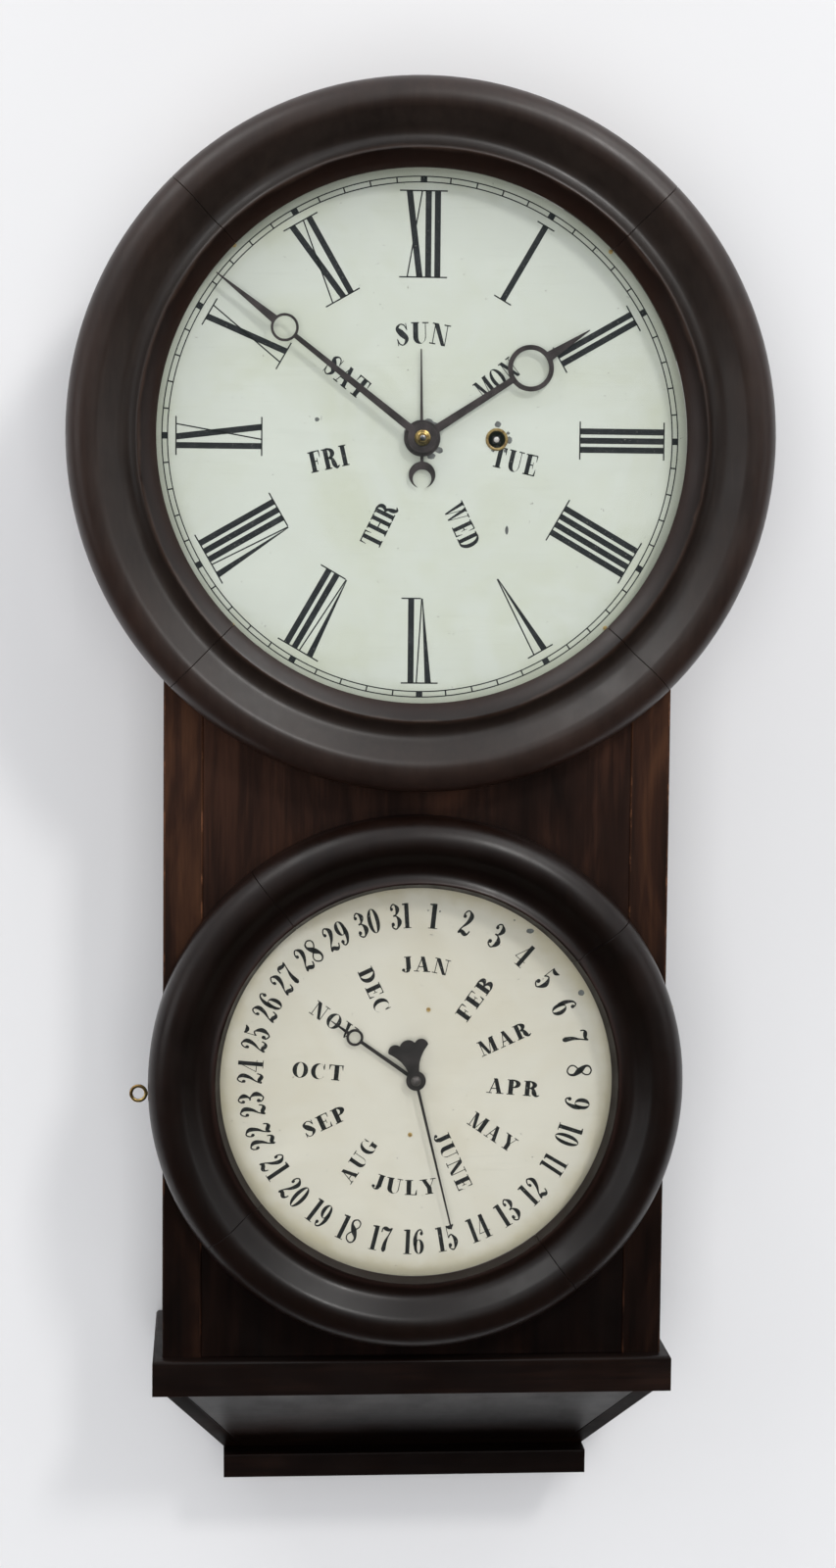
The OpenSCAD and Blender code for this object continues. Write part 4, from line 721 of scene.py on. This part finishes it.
DIGITS = {
    "0": (0.56, ("b", 0.28, 0.5, 0.27, 0.5, 0.18, 0.18, 0.03)),
    "1": (
        0.4, ("d", 0.11, 0, 0.11, 1, 0.2), ("h", 0.02, 0.41, 0, 0.03),
        ("r", (0.16, 0.97, 0.04), (0.08, 0.955, 0.035), (0.01, 0.965, 0.02))
    ),
    "2": (
        0.56, ("o", 0.145, 0.74, 0.075),
        (
            "r", (0.09, 0.78, 0.03), (0.16, 0.93, 0.04), (0.29, 0.985, 0.035), (0.43, 0.8, 0.15),
            (0.34, 0.52, 0.11), (0.16, 0.28, 0.045), (0.05, 0.06, 0.03)
        ),
        (
            "r", (0.05, 0.03, 0.03), (0.18, 0.13, 0.12), (0.34, 0.05, 0.13), (0.46, 0.08, 0.06),
            (0.52, 0.22, 0.02)
        )
    ),
    "3": (
        0.54, ("o", 0.13, 0.81, 0.072),
        (
            "r", (0.08, 0.85, 0.03), (0.17, 0.97, 0.035), (0.28, 0.98, 0.035), (0.4, 0.79, 0.15),
            (0.31, 0.58, 0.06), (0.17, 0.535, 0.03)
        ),
        (
            "r", (0.17, 0.535, 0.03), (0.33, 0.5, 0.05), (0.44, 0.27, 0.165), (0.29, 0.02, 0.035),
            (0.14, 0.045, 0.035), (0.06, 0.15, 0.035)
        ),
        ("o", 0.125, 0.2, 0.082)
    ),
    "4": (
        0.6, ("d", 0.29, 0, 0.29, 1, 0.2), ("d", 0.0, 0.27, 0.37, 1, 0.035), ("h", 0, 0.58, 0.255, 0.03),
        ("h", 0.2, 0.59, 0, 0.03)
    ),
    "5": (
        0.54, ("r", (0.11, 1.0, 0.02), (0.2, 0.93, 0.1), (0.33, 0.92, 0.12), (0.47, 1.0, 0.02)),
        ("d", 0.1, 0.5, 0.1, 1, 0.032),
        (
            "r", (0.11, 0.5, 0.03), (0.2, 0.59, 0.04), (0.31, 0.59, 0.05), (0.43, 0.32, 0.16),
            (0.29, 0.02, 0.035), (0.14, 0.045, 0.035), (0.06, 0.15, 0.035)
        ),
        ("o", 0.13, 0.2, 0.085)
    ),
    "6": (
        0.56, ("b", 0.29, 0.3, 0.245, 0.3, 0.15, 0.18, 0.03),
        (
            "r", (0.47, 0.9, 0.03), (0.37, 0.985, 0.035), (0.22, 0.9, 0.07), (0.115, 0.62, 0.14),
            (0.11, 0.34, 0.14)
        ),
        ("o", 0.43, 0.83, 0.08)
    ),
    "7": (
        0.54,
        (
            "r", (0.03, 0.78, 0.02), (0.06, 0.93, 0.05), (0.18, 0.95, 0.13), (0.36, 0.91, 0.1),
            (0.5, 1.0, 0.02)
        ),
        ("r", (0.49, 0.98, 0.03), (0.38, 0.7, 0.045), (0.27, 0.4, 0.12), (0.24, 0.08, 0.17)),
        ("o", 0.24, 0.08, 0.085)
    ),
    "8": (
        0.54,
        (
            "r", (0.28, 0.985, 0.035), (0.12, 0.9, 0.06), (0.1, 0.74, 0.09), (0.27, 0.52, 0.19),
            (0.44, 0.29, 0.1), (0.42, 0.1, 0.06), (0.27, 0.015, 0.03), (0.08, 0.12, 0.03), (0.06, 0.3, 0.035),
            (0.27, 0.52, 0.03), (0.45, 0.72, 0.035), (0.44, 0.9, 0.03), (0.28, 0.985, 0.035)
        )
    ),
}


def draw(inker, glyph, place, turned=False):
    """Draws one letter or digit with its lower left corner at the placing matrix's origin."""
    width, *strokes = glyph
    inker.place = place
    if turned:
        inker.place = place @ Matrix.Translation((width, 0, 1)) @ Matrix.Rotation(math.pi, 4, "Y")
    strokes_by_kind = {"d": inker.slant, "h": inker.level, "i": inker.stem, "b": inker.bowl, "o": inker.ball}
    for kind, *values in strokes:
        if kind == "r":
            inker.ribbon(values)
        else:
            strokes_by_kind[kind](*values)


def glyph_for(sign):
    if sign == "9":
        return DIGITS["6"], True
    return (DIGITS if sign in DIGITS else LETTERS)[sign], False


def on_face(z, angle, radius, turn):
    """A matrix from millimetres to a place on a dial: angle clockwise from the top, then a clockwise turn."""
    spin = lambda a: Matrix.Rotation(math.radians(a), 4, "Y")
    outward = Matrix.Translation((0, 0, radius))
    return Matrix.Scale(MM, 4) @ Matrix.Translation((0, INK_Y, z)) @ spin(angle) @ outward @ spin(turn)


def write(inker, word, z, angle, radius, turn, height, width, gap=0.1, bend=None):
    """Writes a word centred at a place on a dial, in millimetres; bend is 1 or -1 along an arc."""
    widths = [glyph_for(s)[0][0] for s in word]
    total = sum(widths) + gap * (len(word) - 1)
    across = width / total
    x = -total / 2
    for sign, w in zip(word, widths):
        glyph, turned = glyph_for(sign)
        middle = (x + w / 2) * across
        size = Matrix.Diagonal((across, 1, height, 1))
        if bend:
            here = on_face(z, angle + bend * math.degrees(middle / radius), radius, turn)
            shift = Matrix.Translation((-w / 2 * across, 0, -height / 2))
        else:
            here = on_face(z, angle, radius, turn)
            shift = Matrix.Translation((x * across, 0, -height / 2))
        draw(inker, glyph, here @ shift @ size, turned)
        x += w + gap


# What is painted on the two dials

INNER, OUTER = 92.0, 141.0
NUMERAL_WIDTHS = {"I": 3.5, "V": 8.8, "X": 9.6}
NUMERAL_THIN, NUMERAL_SERIF = 0.8, 3.9
TRACK_RADII, TRACK_HALF, TICK_HALF, HOUR_TICK_HALF = (145.9, 149.1), 0.34, 0.42, 1.9
SUNDAY_RADIUS, WEEKDAY_RADIUS, WEEKDAY_TALL = 60.3, 55.3, 12
DATE_RADIUS, DATE_TALL, FIRST_DATE_ANGLE, DATE_STEP = 97, 14.8, 5.8, 11.613
MONTH_TALL = 9.0


def hour_numeral(inker, text, angle):
    """A Roman hour, upright outward: heavy bars, hairline crossings and long thin serifs."""
    gaps = [1.8 if a == b == "I" else 1.4 for a, b in zip(text, text[1:])]
    total = sum(NUMERAL_WIDTHS[sign] for sign in text) + sum(gaps)
    inker.place = on_face(CLOCK_Z, angle, 0, 0)
    x = -total / 2
    foot = []
    for sign, gap in zip(text, gaps + [0]):
        if sign == "I":
            inker.slant(x, INNER, x, OUTER, NUMERAL_WIDTHS["I"])
        elif sign == "X":
            inker.slant(x + 6.0, INNER, x, OUTER, 3.6)
            inker.slant(x + 0.3, INNER, x + 8.7, OUTER, NUMERAL_THIN)
        else:
            inker.slant(x + 5.2, INNER, x, OUTER, 0.4, 3.7)
            inker.slant(x + 5.4, INNER, x + 8.2, OUTER, NUMERAL_THIN)
        if sign != "V":
            foot.append((x, x + NUMERAL_WIDTHS[sign]))
        x += NUMERAL_WIDTHS[sign] + gap
    half = total / 2 + NUMERAL_SERIF
    inker.level(-half, half, OUTER - NUMERAL_THIN / 2, NUMERAL_THIN)
    if foot:
        left, right = foot[0][0] - NUMERAL_SERIF, foot[-1][1] + NUMERAL_SERIF
        inker.level(left, right, INNER - NUMERAL_THIN / 2, NUMERAL_THIN)


def clock_dial_ink(material):
    numerals = Inker()
    for hour, text in enumerate("XII I II III IIII V VI VII VIII IX X XI".split()):
        hour_numeral(numerals, text, 30 * hour)
    numerals.finished("hour_numerals", material, "case")

    track = Inker()
    track.place = on_face(CLOCK_Z, 0, 0, 0)
    for radius in TRACK_RADII:
        a, b = (track.mesh.verts.new((radius + half, 0, 0)) for half in (-TRACK_HALF, TRACK_HALF))
        edge = track.mesh.edges.new((a, b))
        line = [a, b, edge]
        bmesh.ops.spin(track.mesh, geom=line, axis=FORWARD, angle=math.tau, steps=180, use_merge=True)
        track.set_down(track.loose(a))
    for minute in range(60):
        track.place = on_face(CLOCK_Z, 6 * minute, 0, 0)
        half = TICK_HALF if minute % 5 else HOUR_TICK_HALF
        track.slant(-half, TRACK_RADII[0], -half, TRACK_RADII[1], 2 * half)
    track.finished("minute_track", material, "case")

    days = Inker()
    write(days, "SUN", CLOCK_Z, 0, SUNDAY_RADIUS, 0, WEEKDAY_TALL, 31, bend=1)
    for day, word in enumerate(("MON", "TUE", "WED", "THR", "FRI", "SAT"), 1):
        turn = -90 if day < 4 else 90
        width = 22 if word == "FRI" else 27
        write(days, word, CLOCK_Z, 360 / 7 * day, WEEKDAY_RADIUS, turn, WEEKDAY_TALL, width)
    days.finished("weekday_names", material, "case")


def calendar_dial_ink(material):
    dates = Inker()
    for day in range(1, 32):
        text = str(day)
        usual = 7.6 if len(text) == 1 else 12.4 if "1" in text else 14.8
        width = {"1": 5.6, "11": 9.4}.get(text, usual)
        angle = FIRST_DATE_ANGLE + (day - 1) * DATE_STEP
        turn, bend = (180, -1) if 11 <= day <= 21 else (0, 1)
        write(dates, text, CALENDAR_Z, angle, DATE_RADIUS, turn, DATE_TALL, width, gap=0.06, bend=bend)
    dates.finished("date_numbers", material, "case")

    months = Inker()
    # Each month: its angle, radius, turn, width and bend
    around = (
        ("JAN", 4.5, 68.3, 0, 28.5, 1),
        ("FEB", 36.0, 58.8, -90, 28, None),
        ("MAR", 65.3, 57.2, -90, 32, None),
        ("APR", 94.9, 58.2, -90, 31.5, None),
        ("MAY", 124.5, 55.8, -90, 31.5, None),
        ("JUNE", 155.0, 53.5, -90, 37, None),
        ("JULY", 185.2, 64.5, 180, 38, -1),
        ("AUG", 214.5, 58.6, 90, 28.5, None),
        ("SEP", 245.0, 58.6, 90, 27, None),
        ("OCT", 275.0, 57.4, 90, 30, None),
        ("NOV", 305.8, 59.3, 90, 30, None),
        ("DEC", 335.0, 58.4, 90, 28, None),
    )
    for word, angle, radius, turn, width, bend in around:
        write(months, word, CALENDAR_Z, angle, radius, turn, MONTH_TALL, width, gap=0.16, bend=bend)
    months.finished("month_names", material, "case")


def paint_losses(name, spots, material):
    """Small ragged chips where the dial's paint has gone."""
    chance = random.Random(name)
    mesh = bmesh.new()
    for px, py, wide, tall in spots:
        at = seen_at(px, py, DIAL_Y)
        verts = bmesh.ops.create_circle(mesh, cap_ends=True, segments=18, radius=0.5)["verts"]
        for v in verts:
            ragged = 1 + 0.22 * (chance.random() - 0.5)
            v.co = Vector(
                (
                    (at.x + v.co.x * wide * ragged) * MM, (DIAL_Y - CHIP_THICK) * MM,
                    (at.z + v.co.y * tall * ragged) * MM
                )
            )
    bmesh.ops.recalc_face_normals(mesh, faces=mesh.faces)
    bmesh.ops.solidify(mesh, geom=mesh.faces[:], thickness=CHIP_THICK * MM)
    bmesh.ops.recalc_face_normals(mesh, faces=mesh.faces)
    made = piece(name, mesh, material, "case")


# The setting

place_camera()
bpy.context.scene.view_settings.view_transform = "Standard"

WALL = plaster("pale_wall", (0.7, 0.7, 0.715))
GROUNDS = (("wall", 4, math.pi / 2, (0, 0.003, 0)), ("floor", 1.2, 0.0, (0, -1.2, -2.2)))
for name, half, tilt, shift in GROUNDS:
    ground = bmesh.new()
    bmesh.ops.create_grid(ground, x_segments=1, y_segments=1, size=half)
    bmesh.ops.rotate(ground, verts=ground.verts, cent=(0, 0, 0), matrix=Matrix.Rotation(tilt, 3, "X"))
    bmesh.ops.translate(ground, verts=ground.verts, vec=shift)
    plane = piece(name, ground, WALL)
    plane.visible_glossy = name == "wall"

CASE_MIDDLE = (0, 0, -0.42)
place_light("ceiling_light", (1.6, -3.2, 2.1), CASE_MIDDLE, 0.6, 52, (1.0, 0.985, 0.96))
place_light("overhead_left", (-1.4, -1.2, 1.9), CASE_MIDDLE, 1.2, 16, (1.0, 0.99, 0.97))
place_light("overhead_right", (1.5, -1.1, 1.9), CASE_MIDDLE, 1.2, 13, (1.0, 0.99, 0.97))
place_light("left_window", (-3.4, -1.7, -0.1), (0, 0, -0.2), 1.6, 11, (0.99, 0.99, 1.0))
place_light("right_window", (3.4, -1.7, 0.0), (0, 0, -0.2), 1.6, 6, (0.99, 0.99, 1.0))
place_light("room_fill", (-0.4, -3.8, -0.6), (0, 0, -0.5), 2.6, 83, (1.0, 0.995, 0.985), mirrored=False)
room_air(((0.0, 0.02), (0.4, 0.04), (0.5, 0.09), (0.6, 0.4), (0.75, 0.95), (1.0, 1.3)), 0.85)

# The finishes; colours are linear, from the darkest streaks of a wood to its lightest

TRUNK = ((0.005, 0.0024, 0.0017), (0.015, 0.0064, 0.0041), (0.04, 0.016, 0.009))
STILE = ((0.01, 0.005, 0.0034), (0.026, 0.0105, 0.006), (0.064, 0.026, 0.012))
BASE = ((0.0018, 0.0009, 0.0008), (0.0045, 0.002, 0.0014), (0.012, 0.005, 0.003))
# The panel's and stiles' finishes carry painted shade that darkens them low down, between the two given
# heights in metres.
PANEL_WOOD = polished_wood("panel_polish", "z", TRUNK, 0.42, figure=16, painted_low_shade=(-0.62, -0.34))
STILE_WOOD = polished_wood("stile_polish", "z", STILE, 0.42, figure=20, painted_low_shade=(-0.56, -0.34))
STILE_WEAR = (0.13, 0.055, 0.028)
STILE_EDGE = polished_wood("stile_worn_edge", "z", STILE, 0.5, wear=STILE_WEAR, painted_low_shade=(-0.66, -0.4))
BASE_WOOD = polished_wood("base_polish", "x", BASE, 0.42, sheen=0.2)
BASE_WEAR = (0.2, 0.11, 0.065)
BASE_EDGE = polished_wood("base_worn_edge", "x", BASE, 0.45, wear=BASE_WEAR, rubbing=(0.44, 0.56))
SLOPE_WOOD = polished_wood("slope_polish", "x", BASE, 0.36, sheen=0.36)
DULL_SLOPE_WOOD = polished_wood("dull_slope_polish", "x", BASE, 0.5, sheen=0.06)
RAW_WOOD = raw_wood("old_softwood")
BRASS = old_brass("old_brass")
BRIGHT_BRASS = old_brass("handled_brass", 1.2)
GROMMET_BRASS = old_brass("grommet_brass", 0.72, 240, shine=0.3)
PIN_BRASS = old_brass("pin_brass", 1.3, 240, shine=0.4)
NUT_BRASS = old_brass("mottled_nut_brass", 1.25, 420)
STEEL = dark_steel("plain_steel", (0.28, 0.28, 0.29), (0.46, 0.46, 0.47), 0.38)
HAND_STEEL = dark_steel("browned_hand_steel", (0.022, 0.016, 0.017), (0.055, 0.042, 0.044), 0.5, shine=0.2)
DATE_STEEL = dark_steel(
    "blackened_hand_steel", (0.014, 0.0105, 0.0105), (0.034, 0.026, 0.026), 0.48, shine=0.2
)
# The arbor's tip is light steel, so that it shows as a bright dot in the dark winding hole.
TIP_STEEL = dark_steel("light_tip_steel", (0.55, 0.54, 0.52), (0.8, 0.79, 0.77), 0.35, shine=0.3)
# The winding arbor is painted near black: painted shade for the deep winding hole it sits in.
ARBOR_STEEL = dark_steel("hole_shade_arbor_steel", (0.006, 0.006, 0.006), (0.02, 0.019, 0.018), 0.5, shine=0.3)
HUB_STEEL = dark_steel("dull_hub_steel", (0.05, 0.045, 0.045), (0.12, 0.105, 0.1), 0.45, shine=0.5)
INK = printers_ink("dial_ink", (0.012, 0.013, 0.016), (0.03, 0.032, 0.036), 0.35)
MONTH_INK = printers_ink("calendar_ink", (0.01, 0.009, 0.01), (0.022, 0.02, 0.02), 0.5)
CHIP = dark_steel("bared_tin", (0.09, 0.095, 0.095), (0.2, 0.21, 0.205), 0.6, shine=0.1)
GLASS = clear_glass("window_glass")
CLOCK_PAINT = dial_paint(
    "clock_dial_paint", (0, 0, CLOCK_Z * MM),
    (0.625, 0.665, 0.6), (0.575, 0.61, 0.5), (0.44, 0.47, 0.36), 0.152
)
CALENDAR_PAINT = dial_paint(
    "calendar_dial_paint", (0, 0, CALENDAR_Z * MM),
    (0.65, 0.63, 0.54), (0.6, 0.565, 0.455), (0.47, 0.42, 0.27), 0.1145
)
# The tones of a bezel run from its opening, 0, to its outer edge, 1; the light band at the lip, 0.2 on the
# clock and 0.1 on the calendar, is edge wear and a painted highlight.
CLOCK_RING = turned_wood(
    "clock_bezel_polish", (0, 0, CLOCK_Z * MM), 0.152, 0.2032,
    (
        (0.0, (0.02, 0.008, 0.005)), (0.17, (0.008, 0.0034, 0.002)), (0.2, (0.03, 0.017, 0.012)),
        (0.24, (0.013, 0.0084, 0.0066)), (0.5, (0.021, 0.0148, 0.012)), (0.8, (0.024, 0.0142, 0.0112)),
        (1.0, (0.024, 0.0115, 0.0082))
    ),
    0.36, 0.4
)
CALENDAR_RING = turned_wood(
    "calendar_bezel_polish", (0, 0, CALENDAR_Z * MM), 0.1145, 0.1562,
    (
        (0.0, (0.009, 0.0035, 0.0022)), (0.07, (0.007, 0.0028, 0.0018)), (0.1, (0.02, 0.01, 0.008)),
        (0.15, (0.0075, 0.0038, 0.0028)), (0.5, (0.005, 0.0026, 0.0018)), (1.0, (0.01, 0.0044, 0.003))
    ),
    0.33, 0.32
)

# Wood

turned_bezel(
    "clock_bezel_turned", "clock_bezel", CLOCK_Z, 45,
    turned_profile(
        152, crest=189, rounding=14.2, lean=36, thick=31.2, lip_high=25, chamfer=9.5, seat=16, rebate=157
    ),
    CLOCK_RING, 0.055
)
turned_bezel(
    "calendar_bezel_turned", "calendar_bezel", CALENDAR_Z, 38,
    turned_profile(
        114.5, crest=141, rounding=15.2, lean=42, thick=28, lip_high=20, chamfer=2.7, seat=12, rebate=119
    ),
    CALENDAR_RING, 0.07
)
dressed("front_panel", PANEL_WOOD, width=0.5, shortest=30, worn=PANEL_WOOD)
dressed("side_boards", STILE_WOOD, width=1.1, shortest=40, worn=STILE_EDGE)
dressed("ledge", BASE_WOOD, width=1.0, shortest=10, worn=BASE_EDGE)
dressed("base_side_slopes", DULL_SLOPE_WOOD, width=0.8, shortest=10, worn=BASE_WOOD)
dressed("base_front_slope", SLOPE_WOOD, width=0.8, shortest=10, worn=BASE_WOOD)
dressed("plinth", BASE_WOOD, width=1.2, shortest=8, worn=BASE_EDGE)
dressed("top_board", RAW_WOOD, width=0.8, shortest=20)
dressed("back_board", RAW_WOOD, width=0.6, shortest=40)
coated(["base_block", "movement_blocks"], RAW_WOOD)

# Dials

coated(["clock_dial"], CLOCK_PAINT)
coated(["calendar_dial"], CALENDAR_PAINT)
coated(["clock_glass", "calendar_glass"], GLASS)
clock_dial_ink(INK)
calendar_dial_ink(MONTH_INK)
# Each chip: its place in the picture, then its width and height in millimetres
CLOCK_CHIPS = (
    (437.0, 431.5, 6.4, 5.0), (443, 435, 5.0, 4.6), (448.0, 459.3, 4.6, 3.6), (440, 465.5, 5.0, 3.4),
    (413.5, 441, 1.6, 3.0), (508.0, 433.0, 3.6, 3.6), (519.6, 449, 3.4, 4.2), (518.5, 442, 2.0, 1.8),
    (503, 459.5, 2.2, 1.8), (515.6, 460, 2.0, 2.2), (323.5, 428, 2.6, 2.4), (517, 541, 1.8, 5.2)
)
CALENDAR_CHIPS = (
    (541, 950, 4.6, 3.0), (593, 1013, 3.6, 3.4), (437, 929, 1.0, 0.9),
    (449, 930, 1.2, 1.0), (525, 939, 1.3, 0.9)
)
paint_losses("clock_dial_chips", CLOCK_CHIPS, CHIP)
paint_losses("calendar_dial_chips", CALENDAR_CHIPS, CHIP)

# Hands and metal; each turned part has radii and heights forward of its foot

for node in ("minute_hand", "hour_hand", "weekday_hand"):
    dressed(node, HAND_STEEL, width=0.14, shortest=0.3)
for node in ("date_hand", "month_hand"):
    dressed(node, DATE_STEEL, width=0.14, shortest=0.3)
dressed("dial_pins", PIN_BRASS, width=0.15, shortest=0.1)
dressed("brass_loop", BRIGHT_BRASS, width=0.1, shortest=5)
HAND_NUT_Y, CENTRE_FRONT_Y, WINDING_FRONT_Y, DATE_CAP_Y = -114.0, -116.9, -104.5, -111.15
HAND_NUT_SECTION = (
    (1.68, 0), (4.5, 0), (4.7, 0.4), (4.5, 0.9), (3.9, 1.1), (3.7, 1.6), (3.0, 2.1), (2.2, 2.25), (1.68, 2.0)
)
CENTRE_END_SECTION = ((0, -0.6), (1.5, -0.6), (1.66, 0.3), (1.4, 0.55), (0.7, 0.7), (0, 0.72))
GROMMET_SECTION = (
    (4.92, -1.6), (5.6, -1.6), (5.6, 0), (6.5, 0), (6.45, 0.5), (6.0, 0.95), (5.4, 1.0), (4.95, 0.7)
)
WINDING_TIP_SECTION = ((0, -0.5), (1.5, -0.5), (1.65, 0.1), (1.3, 0.4), (0.7, 0.52), (0, 0.54))
DATE_CAP_SECTION = ((0, 0), (3.0, 0), (3.0, 0.7), (2.7, 1.6), (2.0, 2.3), (1.0, 2.75), (0, 2.85))
turned_part(
    "hand_nut_turned", (0, HAND_NUT_Y, CLOCK_Z), HAND_NUT_SECTION,
    NUT_BRASS, "minute_hand_arbor", "hand_nut"
)
turned_part(
    "centre_arbor_end", (0, CENTRE_FRONT_Y, CLOCK_Z), CENTRE_END_SECTION, STEEL, "minute_hand_arbor"
)
turned_part(
    "grommet_turned", (WINDING_X, DIAL_Y, CLOCK_Z), GROMMET_SECTION,
    GROMMET_BRASS, "case", "winding_grommet"
)
turned_part(
    "winding_arbor_tip", (WINDING_X, WINDING_FRONT_Y, CLOCK_Z), WINDING_TIP_SECTION,
    TIP_STEEL, "winding_arbor_group"
)
turned_part(
    "date_hand_cap", (0, DATE_CAP_Y, CALENDAR_Z), DATE_CAP_SECTION, HUB_STEEL, "date_arbor"
)
BRASS_NODES = (
    "hanger_plate", "hinge_case_leaves", "clock_hinge_leaves", "calendar_hinge_leaves",
    "movement_back_plate", "movement_front_plate", "suspension_cock", "calendar_plate",
    "calendar_bridge", "centre_wheel", "hour_wheel", "minute_wheel", "great_wheel", "third_wheel",
    "escape_wheel", "pendulum_bob", "rating_nut", "weekday_wheel", "day_wheel", "date_wheel",
    "month_wheel", "reduction_wheel"
)
STEEL_NODES = (
    "case_screws", "hinge_pins", "movement_pillars", "mainspring", "clock_glass_bead",
    "calendar_glass_bead", "click", "verge", "pendulum_rod", "trip_lever", "connecting_rod", "date_lever"
)
coated(BRASS_NODES, BRASS)
coated(STEEL_NODES, STEEL)
# The arbor's near-black steel is painted shade of the winding hole.
coated(["winding_arbor"], ARBOR_STEEL)
